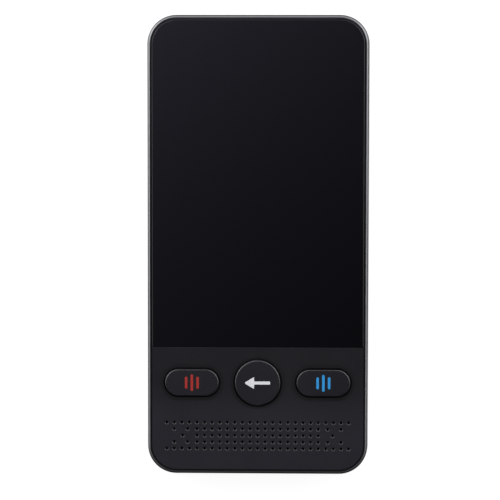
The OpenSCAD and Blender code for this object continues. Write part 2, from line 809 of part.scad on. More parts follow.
// Every hole of the grille, with the chamfer of its mouth
module grille_holes() {
    for (r = [0:len(rows) - 1], c = rows[r])
        translate([c * hole_pitch, grille_y + (r - 2) * row_pitch, 0]) {
            translate([0, 0, panel_low_z - past]) cylinder(r = hole_r, h = panel_t + 2 * past, $fn = 24);
            translate([0, 0, glass_top_z - hole_chamfer_t])
                cylinder(r1 = hole_r, r2 = hole_r + 2 * hole_chamfer, h = 2 * hole_chamfer_t, $fn = 24);
        }
}

// ------------------------------------------------------------------- screen

module display_panel() color([0.2, 0.2, 0.22])
    translate([0, display_y]) between(ledge_top_z - display_t, ledge_top_z)
        square([display_w, display_l], center = true);

module mid_plate() color([0.6, 0.6, 0.62]) {
    plate_inset = side_wall + fit;
    difference() {
        union() {
            intersection() {
                between(plate_low_z, ledge_low_z)
                    rounded(body_w - 2 * plate_inset, body_l - 2 * plate_inset, corner_r - plate_inset);
                side_of(bar_low_y, 1);
            }
            at(board_spots) between(board_top_z, ledge_low_z) circle(standoff_r);
        }
        at(plate_spots) between(plate_low_z - past, ledge_low_z + past) circle(pass_r);
        at(board_spots) between(board_top_z - past, board_top_z + boss_pilot_l) circle(pilot_r);
        translate([0, display_flex_y]) between(plate_low_z - past, ledge_low_z + past)
            square([flex_w + 2 * slot_margin, slot_w], center = true);
        translate([jack_x, half_l - jack_back_d / 2]) between(plate_low_z - past, ledge_low_z + past)
            square([jack_w + 2 * fit, jack_back_d + 2 * fit], center = true);
    }
}

module battery() color([0.75, 0.76, 0.78]) {
    cell_l = battery_l - fold_l;
    translate([0, battery_y - (battery_l - cell_l) / 2]) between(battery_low_z, plate_low_z)
        rounded(battery_w, cell_l, battery_corner_r);
    translate([0, battery_y + (cell_l - past) / 2]) between(plate_low_z - battery_t / 2, plate_low_z - fold_drop)
        square([battery_w - 2 * battery_corner_r, fold_l + past], center = true);
}

// -------------------------------------------------------------- front keys

// Section of a key of one radius, from its axis out
function key_section(r) = concat(
    [[0, flange_low_z],
     [r + flange_w, flange_low_z],
     [r + flange_w, flange_top_z],
     [r, flange_top_z]],
    arc(r - key_round, key_top_z - key_round, key_round, 0, 90),
    [[0, key_top_z]]);

module front_key(x, l, w) {
    translate([x, key_y, 0]) {
        capsule(l, w, key_section(w / 2));
        between(nib_low_z, flange_top_z) circle(nib_r);
    }
}

module left_key() color([0.15, 0.15, 0.16]) front_key(-key_x, pill_l, pill_w);

module right_key() color([0.15, 0.15, 0.16]) front_key(key_x, pill_l, pill_w);

// The flange of the round key has two flats, so that it cannot turn
module back_key() color([0.15, 0.15, 0.16]) difference() {
    front_key(0, back_d, back_d);
    for (side = [-1, 1]) translate([0, key_y + side * (back_flat_y + back_d / 2)])
        between(flange_low_z - past, flange_top_z + stop_gap / 2) square([2 * back_d, back_d], center = true);
}

module key_board() color([0.1, 0.35, 0.2]) between(key_board_z, key_board_top_z) difference() {
    translate([0, key_y]) rounded(key_board_w, key_board_l, key_board_corner_r);
    at(key_spots) circle(pass_r);
}

module key_switches() color([0.8, 0.8, 0.82]) for (x = [-key_x, 0, key_x]) translate([x, key_y]) {
    between(key_board_top_z, key_board_top_z + tact_h) square(tact_w, center = true);
    between(key_board_top_z, switch_top_z) circle(plunger_r);
}

module key_board_screws() color([0.5, 0.5, 0.52])
    at(key_spots) screw(key_board_z, board_t + boss_pilot_l - 2 * fit);

// Flex from the rear of the key board down to the USB board
module key_flex() color([0.8, 0.5, 0.15]) {
    board_edge_y = key_y - key_board_l / 2;
    fold_y = board_edge_y - fold_gap;
    upper_l = fold_gap + key_flex_end;
    translate([key_flex_x, 0]) {
        translate([0, fold_y + upper_l / 2]) between(key_board_z - flex_t, key_board_z)
            square([key_flex_w, upper_l], center = true);
        translate([0, fold_y]) between(usb_board_top_z, key_board_z) square([key_flex_w, flex_t], center = true);
        translate([0, fold_y - key_flex_end / 2]) between(usb_board_top_z, usb_board_top_z + flex_t)
            square([key_flex_w, key_flex_end + flex_t], center = true);
    }
}

// ----------------------------------------------------------------- speaker

module mesh_outline()
    rounded(2 * (middle_column * hole_pitch + mesh_margin), 4 * row_pitch + 2 * mesh_margin, mesh_margin);

module grille_mesh() color([0.08, 0.08, 0.08])
    translate([0, grille_y]) between(mesh_low_z, panel_low_z) mesh_outline();

module speaker_gasket() color([0.1, 0.1, 0.1])
    translate([0, grille_y]) between(gasket_low_z, mesh_low_z) difference() {
        pill(speaker_l, speaker_w);
        pill(speaker_l - 2 * speaker_rim, speaker_w - 2 * speaker_rim);
    }

module speaker() color([0.25, 0.25, 0.27]) translate([0, grille_y]) {
    difference() {
        between(speaker_low_z, gasket_low_z) pill(speaker_l, speaker_w);
        between(gasket_low_z - cone_depth, gasket_low_z + past)
            pill(speaker_l - 2 * speaker_rim, speaker_w - 2 * speaker_rim);
    }
    translate([0, 0, gasket_low_z - cone_depth]) cylinder(r1 = dome_r, r2 = dome_r / 2, h = cone_depth / 2);
}

// -------------------------------------------------------------- main board

module main_board() color([0.1, 0.35, 0.2]) between(board_z, board_top_z) difference() {
    translate([0, board_y]) rounded(board_w, board_l, board_corner_r);
    translate([jack_x, half_l - jack_back_d / 2 - 2 * fit])
        square([jack_w + 4 * fit, jack_back_d], center = true);
    at(board_spots) circle(pass_r);
}

// Chips on the front face: place as a share of the board, from the middle of
// its lower edge, then width and length
chips = [[-0.075, 0.67, 12, 12], [0.195, 0.3, 10, 13], [0.035, 0.91, 6, 5]];
module board_chips() color([0.12, 0.12, 0.12])
    for (c = chips) translate([c[0] * board_w, board_low_y + c[1] * board_l]) between(board_top_z, board_top_z + chip_h)
        square([c[2], c[3]], center = true);

// Shield cans on the rear face, listed in the same way
cans = [[-0.2, 0.35, 20, 17], [0.24, 0.35, 18, 17]];
can_corner_r = 1;
module shield_cans() color([0.7, 0.7, 0.72])
    for (c = cans) translate([c[0] * board_w, board_low_y + c[1] * board_l]) difference() {
        between(board_z - can_h, board_z) rounded(c[2], c[3], can_corner_r);
        between(board_z - can_h + sheet_t, board_z + past)
            rounded(c[2] - 2 * sheet_t, c[3] - 2 * sheet_t, can_corner_r - sheet_t);
    }

module board_screws() color([0.5, 0.5, 0.52])
    at(board_spots) screw(board_z, board_t + boss_pilot_l - 2 * fit);

module plate_screws() color([0.5, 0.5, 0.52])
    at(plate_spots) screw(plate_low_z, plate_t + pilot_l - 2 * fit);

// --------------------------------------------------------- side keys, tray

// Cap and flange of a side key: the cap lies in the wall, the flange behind it
module side_key(l, flange_d) {
    sunk(side_key_sink, flange_d + side_flange_t) pill(l, side_key_h);
    sunk(flange_d, flange_d + side_flange_t) pill(l + 2 * side_flange_w, side_key_h + 2 * side_flange_w);
}

module power_key() color([0.33, 0.34, 0.36]) on_right(power_y, side_z) {
    side_key(power_l, side_wall + stop_gap);
    sunk(side_wall + stop_gap, nib_tip_d) square(side_nib_w, center = true);
}

module volume_key() color([0.33, 0.34, 0.36]) on_right(volume_y, side_z) {
    side_key(volume_l, side_wall + rocker_gap);
    for (end = [-1, 1]) translate([end * rocker_arm, 0]) sunk(side_wall + rocker_gap, nib_tip_d)
        square(side_nib_w, center = true);
    for (edge = [-1, 1]) translate([0, edge * (side_key_h + side_flange_w + side_gap) / 2])
        sunk(side_wall + stop_gap, side_wall + rocker_gap + side_flange_t / 2)
            square([side_flange_t, side_flange_w - side_gap], center = true);
}

module side_switches() color([0.8, 0.8, 0.82]) for (y = switches_y) on_right(y, side_z) {
    sunk(plunger_tip_d, plunger_tip_d + side_plunger_l + past) square([side_nib_w, side_nib_w / 2], center = true);
    sunk(plunger_tip_d + side_plunger_l, plunger_tip_d + side_plunger_l + switch_w)
        square([switch_l, switch_h], center = true);
}

module card_tray() color([0.33, 0.34, 0.36]) {
    tray_low = board_top_z + tray_rise - side_z;
    on_left(tray_y, side_z) {
        difference() {
            sunk(side_key_sink, side_wall + fit) pill(tray_head_l, tray_head_h);
            translate([tray_w / 2 - pin_inset, 0]) through_wall() circle(pin_r);
        }
        difference() {
            translate([0, tray_low + tray_t / 2]) sunk(side_wall, side_wall + tray_l)
                square([tray_w, tray_t], center = true);
            card_pocket(tray_low);
        }
    }
}

// Pocket of the card, open behind its middle so that the card touches the reader
module card_pocket(low) {
    back = side_wall + tray_l - tray_edge;
    translate([0, low + tray_t]) sunk(back - card_l, back) square([card_w, tray_t], center = true);
    translate([0, low]) sunk(back - card_l + tray_edge, back - tray_edge)
        square([card_w - 2 * tray_edge, 2 * tray_t], center = true);
}

module card_reader() color([0.7, 0.7, 0.72]) {
    inner_w = tray_w + 2 * reader_side_gap;
    back_d = side_wall + tray_l + reader_side_gap;
    on_left(tray_y, board_top_z) difference() {
        translate([0, reader_h / 2]) sunk(reader_front_d, back_d + sheet_t)
            square([inner_w + 2 * sheet_t, reader_h], center = true);
        translate([0, (reader_h - sheet_t) / 2 - past / 2]) sunk(reader_front_d - past, back_d)
            square([inner_w, reader_h - sheet_t + past], center = true);
    }
}

// ------------------------------------------------------------------- ports

module headphone_jack() color([0.1, 0.1, 0.1]) on_top(jack_x, jack_z) difference() {
    union() {
        sunk(jack_mouth_d, jack_body_d + past) circle(jack_nose_r);
        sunk(jack_body_d, jack_back_d) square([jack_w, jack_h], center = true);
    }
    sunk(jack_mouth_d - past, jack_mouth_d + jack_bore_l) circle(jack_bore_r);
}

module usb_socket() color([0.72, 0.72, 0.74]) on_bottom(0, usb_z) {
    back = usb_mouth_d + usb_l;
    difference() {
        sunk(usb_mouth_d, back) pill(usb_w, usb_h);
        sunk(usb_mouth_d - past, back - usb_back) pill(usb_w - 2 * usb_wall, usb_h - 2 * usb_wall);
    }
    sunk(back - usb_back - tongue_l, back - usb_back / 2) square([tongue_w, tongue_h], center = true);
}

module usb_board() color([0.1, 0.35, 0.2]) between(usb_board_z, usb_board_top_z) difference() {
    translate([0, usb_board_y]) rounded(usb_board_w, usb_board_l, usb_corner_r);
    at(usb_spots) circle(pass_r);
}

module usb_board_screws() color([0.5, 0.5, 0.52]) at(usb_spots) translate([0, 0, usb_board_top_z]) mirror([0, 0, 1])
    screw(0, board_t + pilot_l - 2 * fit);

module microphones() color([0.75, 0.7, 0.5]) for (x = [-mic_x, mic_x]) on_bottom(x, mic_z)
    sunk(mic_d, mic_d + mic_l) square([mic_w, mic_h], center = true);

module vibration_motor() color([0.7, 0.7, 0.72])
    translate([motor_x, motor_y]) between(usb_board_top_z, usb_board_top_z + motor_h) circle(motor_r);

// ------------------------------------------------------------------ camera

module camera_window() color([0.03, 0.03, 0.035])
    translate([window_x, camera_y]) between(window_sink, window_top_z) pill(window_l, window_w);

module camera_module() color([0.12, 0.12, 0.12]) translate([camera_x, camera_y]) {
    between(pad_top_z + camera_pad_gap, board_z) square(camera_w, center = true);
    between(window_top_z + barrel_gap, board_z) circle(barrel_r);
}

module flash_led() color([0.9, 0.85, 0.4])
    translate([flash_x, camera_y]) between(board_z - led_h, board_z) square(led_w, center = true);

module flash_guide() color([0.85, 0.87, 0.9]) translate([flash_x, camera_y]) {
    between(window_top_z + fit, board_z - led_h - fit) circle(guide_r);
    between(pad_top_z, pad_top_z + guide_flange_t) circle(guide_flange_r);
}

// ----------------------------------------------------------------- antenna

module antenna() color([0.8, 0.5, 0.15])
    translate([0, antenna_y]) between(cover_t, cover_t + antenna_t) square([antenna_w, antenna_l], center = true);

module antenna_springs() color([0.85, 0.75, 0.4]) for (x = spring_x) translate([x, antenna_y]) {
    between(cover_t + antenna_t, cover_t + antenna_t + sheet_t) square([spring_w, spring_l], center = true);
    translate([0, (spring_l - sheet_t) / 2]) between(cover_t + antenna_t, board_z) square([spring_w, sheet_t], center = true);
    between(board_z - sheet_t, board_z) square([spring_w, spring_l], center = true);
}

// ----------------------------------------------------- flexes between boards

// The long flex runs under the battery, with a step up at each end
module board_flex() color([0.8, 0.5, 0.15]) {
    low_end_z = usb_board_top_z + connector_h;
    high_end_z = board_z - connector_h - flex_t;
    path = [[usb_board_top_y - connector_l, low_end_z],
            [usb_board_top_y + flex_overhang, low_end_z],
            [usb_board_top_y + flex_overhang + flex_slope, flex_low_z],
            [board_low_y - flex_overhang - flex_slope, flex_low_z],
            [board_low_y - flex_overhang, high_end_z],
            [board_low_y + connector_l, high_end_z]];
    raised = [for (i = [len(path) - 1:-1:0]) [path[i][0], path[i][1] + flex_t]];
    translate([flex_x - flex_w / 2, 0, 0]) rotate([90, 0, 90]) linear_extrude(flex_w) polygon(concat(path, raised));
}

module flex_connectors() color([0.9, 0.88, 0.8]) {
    translate([flex_x, usb_board_top_y - connector_l / 2])
        between(usb_board_top_z, usb_board_top_z + connector_h) square([flex_w, connector_l], center = true);
    translate([flex_x, board_low_y + connector_l / 2])
        between(board_z - connector_h, board_z) square([flex_w, connector_l], center = true);
    translate([0, display_flex_y + connector_l / 2])
        between(board_top_z, board_top_z + connector_h) square([flex_w, connector_l], center = true);
}

// The display flex folds through its slot in the mid plate
module display_flex() color([0.8, 0.5, 0.15]) {
    display_low_z = ledge_top_z - display_t;
    connector_top_z = board_top_z + connector_h;
    translate([0, display_flex_y - display_flex_l / 2]) between(display_low_z - flex_t, display_low_z)
        square([flex_w, display_flex_l], center = true);
    translate([0, display_flex_y - flex_t / 2]) between(connector_top_z, display_low_z) square([flex_w, flex_t], center = true);
    translate([0, display_flex_y + connector_l / 2 - flex_t / 2]) between(connector_top_z, connector_top_z + flex_t)
        square([flex_w, connector_l + flex_t], center = true);
}

frame();
back_cover();
cover_glass();
display_panel();
mid_plate();
front_panel();
left_key();
right_key();
back_key();
key_board();
key_switches();
key_flex();
grille_mesh();
speaker_gasket();
speaker();
battery();
main_board();
board_chips();
shield_cans();
card_reader();
card_tray();
side_switches();
power_key();
volume_key();
headphone_jack();
camera_module();
camera_window();
flash_led();
flash_guide();
antenna();
antenna_springs();
usb_board();
usb_socket();
microphones();
vibration_motor();
board_flex();
flex_connectors();
display_flex();
plate_screws();
board_screws();
key_board_screws();
usb_board_screws();
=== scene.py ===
import math
import bpy
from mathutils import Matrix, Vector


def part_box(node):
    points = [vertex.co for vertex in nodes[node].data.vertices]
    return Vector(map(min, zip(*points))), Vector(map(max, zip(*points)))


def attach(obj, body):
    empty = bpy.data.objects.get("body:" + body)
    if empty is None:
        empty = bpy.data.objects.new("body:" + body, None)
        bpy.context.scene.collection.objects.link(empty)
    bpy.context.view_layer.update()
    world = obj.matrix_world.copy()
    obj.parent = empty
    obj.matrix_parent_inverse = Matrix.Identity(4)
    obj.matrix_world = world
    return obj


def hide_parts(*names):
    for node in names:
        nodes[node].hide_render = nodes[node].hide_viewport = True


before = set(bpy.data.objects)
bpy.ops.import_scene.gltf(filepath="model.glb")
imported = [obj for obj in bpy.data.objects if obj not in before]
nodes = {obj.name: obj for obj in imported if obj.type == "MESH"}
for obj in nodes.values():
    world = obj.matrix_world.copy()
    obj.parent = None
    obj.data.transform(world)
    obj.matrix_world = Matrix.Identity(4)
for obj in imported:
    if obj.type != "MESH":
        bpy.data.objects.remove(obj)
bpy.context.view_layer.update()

mm = 0.001
facing = 0.9  # a face looks along an axis when its normal reaches past this
sameSpot = 1e-7  # metres, for two corners that stand one above the other


# selecting and finishing pieces
def onlySelect(piece):
    bpy.ops.object.select_all(action="DESELECT")
    piece.select_set(True)
    bpy.context.view_layer.objects.active = piece


def settle(piece, name):  # its place goes into its mesh, and its object to the origin
    onlySelect(piece)
    bpy.ops.object.transform_apply(location=True, rotation=True, scale=True)
    piece.name = name
    piece.data.name = name
    return piece


def pickFaces(piece, wanted):
    onlySelect(piece)
    bpy.ops.object.mode_set(mode="EDIT")
    bpy.ops.mesh.select_mode(type="FACE")
    bpy.ops.mesh.select_all(action="DESELECT")
    bpy.ops.object.mode_set(mode="OBJECT")
    for face in piece.data.polygons:
        face.select = wanted(face)
    bpy.ops.object.mode_set(mode="EDIT")


def pickEdges(piece, wanted):
    onlySelect(piece)
    bpy.ops.object.mode_set(mode="EDIT")
    bpy.ops.mesh.select_mode(type="EDGE")
    bpy.ops.mesh.select_all(action="DESELECT")
    bpy.ops.object.mode_set(mode="OBJECT")
    corners = piece.data.vertices
    for edge in piece.data.edges:
        edge.select = wanted(corners[edge.vertices[0]].co, corners[edge.vertices[1]].co)
    bpy.ops.object.mode_set(mode="EDIT")


def leaveEdit():
    bpy.ops.object.mode_set(mode="OBJECT")


def boxPiece(low, high):  # a block between two corners, ready to be shaped
    centre = [(a + b) / 2 for a, b in zip(low, high)]
    span = [b - a for a, b in zip(low, high)]
    bpy.ops.object.select_all(action="DESELECT")
    bpy.ops.mesh.primitive_cube_add(size=1, location=centre, scale=span)
    return settle(bpy.context.object, "block")


def copyPiece(piece, move):
    onlySelect(piece)
    bpy.ops.object.duplicate_move(TRANSFORM_OT_translate={"value": move})
    return settle(bpy.context.object, "copy")


def joinAll(pieceList, name):
    onlySelect(pieceList[0])
    for piece in pieceList[1:]:
        piece.select_set(True)
    bpy.ops.object.join()
    return settle(bpy.context.object, name)


def roundEdges(piece, radius, segments=3, angle=30):
    onlySelect(piece)
    soften = piece.modifiers.new("soften", "BEVEL")
    soften.width = radius
    soften.segments = segments
    soften.limit_method = "ANGLE"
    soften.angle_limit = math.radians(angle)
    bpy.ops.object.modifier_apply(modifier=soften.name)


def smoothSurface(piece, angle=32):  # flat faces stay flat beside rounded edges
    onlySelect(piece)
    bpy.ops.object.shade_smooth_by_angle(angle=math.radians(angle))
    weigh = piece.modifiers.new("weigh", "WEIGHTED_NORMAL")
    weigh.keep_sharp = True
    weigh.weight = 80
    bpy.ops.object.modifier_apply(modifier=weigh.name)


def dress(piece, body, finish):
    piece.data.materials.clear()
    piece.data.materials.append(finish)
    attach(piece, body)


# shader sums
class Wire:  # a socket that takes part in sums
    def __init__(self, tree, socket):
        self.tree = tree
        self.socket = socket

    # adds a node: its type, its settings, then the values or wires of its sockets
    def node(self, kind, settings=None, sockets=None, out=0):
        made = self.tree.nodes.new(kind)
        for name, value in (settings or {}).items():
            if name == "stops":
                stops = made.color_ramp.elements
                while len(stops) < len(value):
                    stops.new(0.5)
                for stop, (place, shade) in zip(stops, value):
                    stop.position = place
                    stop.color = shade
            else:
                setattr(made, name, value)
        for name, value in (sockets or {}).items():
            if isinstance(value, Wire):
                self.tree.links.new(value.socket, made.inputs[name])
            else:
                made.inputs[name].default_value = value
        return Wire(self.tree, made.outputs[out])

    def sum(self, operation, first, second=0.0):
        return self.node("ShaderNodeMath", {"operation": operation}, {0: first, 1: second})

    def __add__(self, other):
        return self.sum("ADD", self, other)

    def __radd__(self, other):
        return self.sum("ADD", other, self)

    def __sub__(self, other):
        return self.sum("SUBTRACT", self, other)

    def __rsub__(self, other):
        return self.sum("SUBTRACT", other, self)

    def __mul__(self, other):
        return self.sum("MULTIPLY", self, other)

    def __rmul__(self, other):
        return self.sum("MULTIPLY", other, self)

    def __truediv__(self, other):
        return self.sum("DIVIDE", self, other)

    def __rtruediv__(self, other):
        return self.sum("DIVIDE", other, self)

    def __pow__(self, other):
        return self.sum("POWER", self, other)

    def __rpow__(self, other):
        return self.sum("POWER", other, self)

    def __lt__(self, other):
        return self.sum("LESS_THAN", self, other)

    def __gt__(self, other):
        return self.sum("GREATER_THAN", self, other)

    def __abs__(self):
        return self.sum("ABSOLUTE", self)

    def larger(self, other):
        return self.sum("MAXIMUM", self, other)

    def smaller(self, other):
        return self.sum("MINIMUM", self, other)

    def sine(self):
        return self.sum("SINE", self)

    def waves(self, pitch):  # goes from -1 to 1 and back within each pitch
        return (self * (math.tau / pitch)).sine()

    def blend(self, other, share):  # two patterns as one, this one by its share
        return self * share + other * (1 - share)

    def mix(self, first, second):  # a colour between two, by this wire: sockets 6 and 7, and output 2
        return self.node("ShaderNodeMix", {"data_type": "RGBA"}, {0: self, 6: first, 7: second}, 2)

    def ramp(self, *stops):  # a colour by this wire, from stops of a place and a shade
        return self.node("ShaderNodeValToRGB", {"stops": stops}, {"Fac": self})

    def rise(self, low, high):  # goes from 0 to 1 between two values, softly
        return self.node("ShaderNodeMapRange", {"interpolation_type": "SMOOTHSTEP"},
                         {"Value": self, "From Min": low, "From Max": high})

    def crossing(self, edge, soft):  # goes from 0 to 1 across an edge
        return self.rise(edge - soft, edge + soft)

    def stretch(self, x, y, z):  # the same place with its axes scaled, for brushed grain
        return self.node("ShaderNodeMapping", None, {"Vector": self, "Scale": (x, y, z)})

    def axes(self):
        parts = self.node("ShaderNodeSeparateXYZ", None, {"Vector": self})
        made = parts.socket.node.outputs
        return [Wire(self.tree, made[i]) for i in range(3)]

    def cells(self, size):
        return self.node("ShaderNodeTexVoronoi", None, {"Vector": self, "Scale": 1 / size})

    def noise(self, size, detail=2.0, roughness=0.5):  # size of one grain, in metres
        return self.node("ShaderNodeTexNoise", None,
                         {"Vector": self, "Scale": 1 / size, "Detail": detail, "Roughness": roughness})

    def bump(self, distance):
        return self.node("ShaderNodeBump", None, {"Height": self, "Distance": distance, "Strength": 1.0})


def newFinish(name, fixed):
    finish = bpy.data.materials.new(name)
    finish.use_nodes = True
    tree = finish.node_tree
    surface = tree.nodes["Principled BSDF"]
    for socket, value in fixed.items():
        surface.inputs[socket].default_value = value
    place = tree.nodes.new("ShaderNodeTexCoord")
    return finish, surface, Wire(tree, place.outputs["Object"])


def feed(surface, **wires):  # baseColor=..., roughness=..., metallic=..., alpha=..., normal=...
    sockets = {"baseColor": "Base Color", "roughness": "Roughness", "metallic": "Metallic",
               "alpha": "Alpha", "normal": "Normal"}
    for name, wire in wires.items():
        wire.tree.links.new(wire.socket, surface.inputs[sockets[name]])


def shade(level, tint=(1, 1, 1)):
    return (level * tint[0], level * tint[1], level * tint[2], 1)


def darkAndLight(look):  # the two shades that a pattern goes between
    return shade(look["dark"], look["tint"]), shade(look["light"], look["tint"])


def uneven(level, *parts):  # each part is a noise, and how far it swings the level
    for noise, swing in parts:
        level = level + (noise - 0.5) * swing
    return level


def speckled(speck, look):  # a roughness that a noise raises
    return look["roughness"] + speck * look["rougher"]


def distance(across, along):
    return (across ** 2 + along ** 2) ** 0.5


def awayFrom(place, x, y):  # distance from an upright axis, in metres
    across, along = place.axes()[:2]
    return distance(across - x, along - y)


def insideOutline(place, node, corner):  # how far a point lies inside a centred node's rounded outline
    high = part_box(node)[1]
    across, along = place.axes()[:2]
    pastX = (abs(across) - (high.x - corner)).larger(0.0)
    pastY = (abs(along) - (high.y - corner)).larger(0.0)
    return corner - distance(pastX, pastY)


def outsideKey(place, node):  # how far a point lies outside a key's round-ended outline
    low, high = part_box(node)
    middle = (low + high) / 2
    radius = (high.y - low.y) / 2
    across, along = place.axes()[:2]
    past = (abs(across - middle.x) - ((high.x - low.x) / 2 - radius)).larger(0.0)
    return distance(past, along - middle.y) - radius


# finishes of the outside
metalLook = {"dark": 0.055, "light": 0.075, "tint": (0.97, 0.99, 1.04), "grain": 0.12 * mm,
             "cloud": 9 * mm, "grainShare": 0.6, "depth": 0.0012 * mm, "roughness": 0.39,
             "grainSwing": 0.12, "cloudSwing": 0.06}
bandLook = {"corner": 8.1 * mm, "cut": 0.225, "black": 0.055, "cutFrom": 0.5 * mm, "cutTo": 0.86 * mm,
            "topFrom": 50 * mm, "topTo": 62 * mm, "widerAtTop": 0.28 * mm, "soft": 0.05 * mm}


def anodisedMetal(name, band=False):  # the band has a bright cut along its edge, and is black inside it
    finish, surface, place = newFinish(name, {"Metallic": 1.0})
    grain = place.noise(metalLook["grain"], detail=3.0, roughness=0.6)
    cloud = place.noise(metalLook["cloud"])
    colour = grain.blend(cloud, metalLook["grainShare"]).mix(*darkAndLight(metalLook))
    if band:
        along = place.axes()[1]
        inside = insideOutline(place, "frame", bandLook["corner"])
        nearTop = along.rise(bandLook["topFrom"], bandLook["topTo"])
        cutTo = bandLook["cutTo"] + nearTop * bandLook["widerAtTop"]
        cut = inside.crossing(bandLook["cutFrom"], bandLook["soft"])
        inner = (inside - cutTo).crossing(0, bandLook["soft"])
        bright = cut.mix(colour, shade(bandLook["cut"], metalLook["tint"]))
        colour = inner.mix(bright, shade(bandLook["black"]))
    feed(surface,
         baseColor=colour,
         roughness=uneven(metalLook["roughness"],
                          (grain, metalLook["grainSwing"]), (cloud, metalLook["cloudSwing"])),
         normal=grain.bump(metalLook["depth"]))
    return finish


plasticLook = {"cloud": 14 * mm, "grainShare": 0.5, "grainSwing": 0.14, "cloudSwing": 0.08}
panelLook = {"dark": 0.0096, "light": 0.0138, "tint": (0.95, 1.0, 1.38), "grain": 0.22 * mm,
             "depth": 0.006 * mm, "roughness": 0.41, "gloss": 0.5}
keyLook = {"dark": 0.0050, "light": 0.0076, "tint": (0.96, 0.99, 1.25), "grain": 0.18 * mm,
           "depth": 0.003 * mm, "roughness": 0.28, "gloss": 1.0}
coverLook = {"dark": 0.010, "light": 0.015, "tint": (0.97, 1.0, 1.05), "grain": 0.3 * mm,
             "depth": 0.01 * mm, "roughness": 0.62, "gloss": 0.4}
chipLook = {"dark": 0.008, "light": 0.016, "tint": (1.0, 1.0, 1.03), "grain": 0.06 * mm,
            "depth": 0.004 * mm, "roughness": 0.55, "gloss": 0.45}
jackLook = {"dark": 0.007, "light": 0.012, "tint": (1.0, 1.0, 1.02), "grain": 0.12 * mm,
            "depth": 0.003 * mm, "roughness": 0.42, "gloss": 0.5}
# painted shade on the lower panel: darker towards its top, and a painted shadow round each key
paintedPanelShadeLook = {"from": -37 * mm, "to": -48 * mm, "paintedTopShade": 0.6, "grooveFrom": 0.3 * mm, "grooveTo": 1.0 * mm,
           "paintedGrooveShadow": 0.8}
# the key edge: paler, as wear and as a painted highlight, and smoother
edgeWearAndHighlightLook = {"from": -0.6 * mm, "to": -0.3 * mm, "level": 0.034, "polish": 0.06}


def mouldedPlastic(name, look, kind=""):  # spark-eroded texture, with a slight cloud of wear
    finish, surface, place = newFinish(name, {"Specular IOR Level": look["gloss"]})
    grain = place.noise(look["grain"], detail=3.0, roughness=0.65)
    cloud = place.noise(plasticLook["cloud"])
    colour = grain.blend(cloud, plasticLook["grainShare"]).mix(*darkAndLight(look))
    roughness = uneven(look["roughness"],
                       (grain, plasticLook["grainSwing"]), (cloud, plasticLook["cloudSwing"]))
    if kind:
        away = outsideKey(place, "left_key").smaller(outsideKey(place, "right_key"))
        away = away.smaller(outsideKey(place, "back_key"))
    if kind == "panel":  # painted shade: the panel darker towards its top by the glass, and a painted shadow round the keys
        along = place.axes()[1]
        paintedTopShade = along.rise(paintedPanelShadeLook["to"], paintedPanelShadeLook["from"]) * paintedPanelShadeLook["paintedTopShade"]
        # a painted shadow in the grooves round the keys
        paintedGrooveShadow = away.rise(paintedPanelShadeLook["grooveTo"], paintedPanelShadeLook["grooveFrom"]) * paintedPanelShadeLook["paintedGrooveShadow"]
        colour = paintedTopShade.mix(colour, shade(0))
        colour = paintedGrooveShadow.mix(colour, shade(0))
    if kind == "key":  # paler along its edge, partly wear and partly a painted highlight, and smoother there
        edge = away.rise(edgeWearAndHighlightLook["from"], edgeWearAndHighlightLook["to"])
        colour = edge.mix(colour, shade(edgeWearAndHighlightLook["level"], look["tint"]))
        roughness = roughness - edge * edgeWearAndHighlightLook["polish"]
    feed(surface, baseColor=colour, roughness=roughness, normal=grain.bump(look["depth"]))
    return finish


glassLook = {"colour": (0.0010, 0.0010, 0.0014, 1), "roughness": 0.03, "smear": 0.05, "smearSize": 18 * mm,
             "smearFrom": 0.62, "edge": 1.66 * mm, "edgeSoft": 0.06 * mm, "edgeRoughness": 0.32}


def blackGlass():  # polished, with a finely ground edge
    finish, surface, place = newFinish("blackGlass", {"Base Color": glassLook["colour"], "IOR": 1.5})
    smear = place.noise(glassLook["smearSize"], detail=3.0, roughness=0.6)
    smeared = (smear > glassLook["smearFrom"]) * (smear - glassLook["smearFrom"])
    inside = insideOutline(place, "frame", bandLook["corner"])
    ground = 1 - inside.crossing(glassLook["edge"], glassLook["edgeSoft"])
    feed(surface, roughness=glassLook["roughness"] + smeared * glassLook["smear"]
         + ground * glassLook["edgeRoughness"])
    return finish


print("finishes: outside")
metal = anodisedMetal("anodisedMetal")
bandMetal = anodisedMetal("bandMetal", band=True)
panelFinish = mouldedPlastic("panelPlastic", panelLook, "panel")
keyFinish = mouldedPlastic("keyPlastic", keyLook, "key")
coverFinish = mouldedPlastic("coverPlastic", coverLook)
glassFinish = blackGlass()


# finishes of the inside
drawnLook = {"stain": 5 * mm, "grainShare": 0.55, "grainSwing": 0.2, "stainSwing": 0.1, "depth": 0.003 * mm}
steelLook = {"dark": 0.42, "light": 0.58, "grain": 0.05 * mm, "stretch": 30, "roughness": 0.32}
screwLook = {"dark": 0.20, "light": 0.34, "grain": 0.08 * mm, "stretch": 1, "roughness": 0.36}


def grainedMetal(name, look):  # drawn or turned metal, its grain stretched along X
    finish, surface, place = newFinish(name, {"Metallic": 1.0})
    grain = place.stretch(1 / look["stretch"], 1, 1).noise(look["grain"], detail=3.0, roughness=0.6)
    stain = place.noise(drawnLook["stain"], detail=3.0)
    feed(surface,
         baseColor=grain.blend(stain, drawnLook["grainShare"]).mix(shade(look["dark"]), shade(look["light"])),
         roughness=uneven(look["roughness"],
                          (grain, drawnLook["grainSwing"]), (stain, drawnLook["stainSwing"])),
         normal=grain.bump(drawnLook["depth"]))
    return finish


boardLook = {"mask": (0.006, 0.075, 0.028, 1), "track": (0.012, 0.14, 0.045, 1),
             "gold": (0.83, 0.58, 0.22, 1), "trackPitch": 1.3 * mm, "trackEdge": 0.45, "bendSize": 9 * mm,
             "bend": 5.5, "viaPitch": 2.2 * mm, "viaSize": 0.22 * mm, "viaMetal": 0.9, "stain": 3 * mm,
             "trackShare": 0.8, "speck": 0.4 * mm, "roughness": 0.3, "rougher": 0.15, "depth": 0.02 * mm}


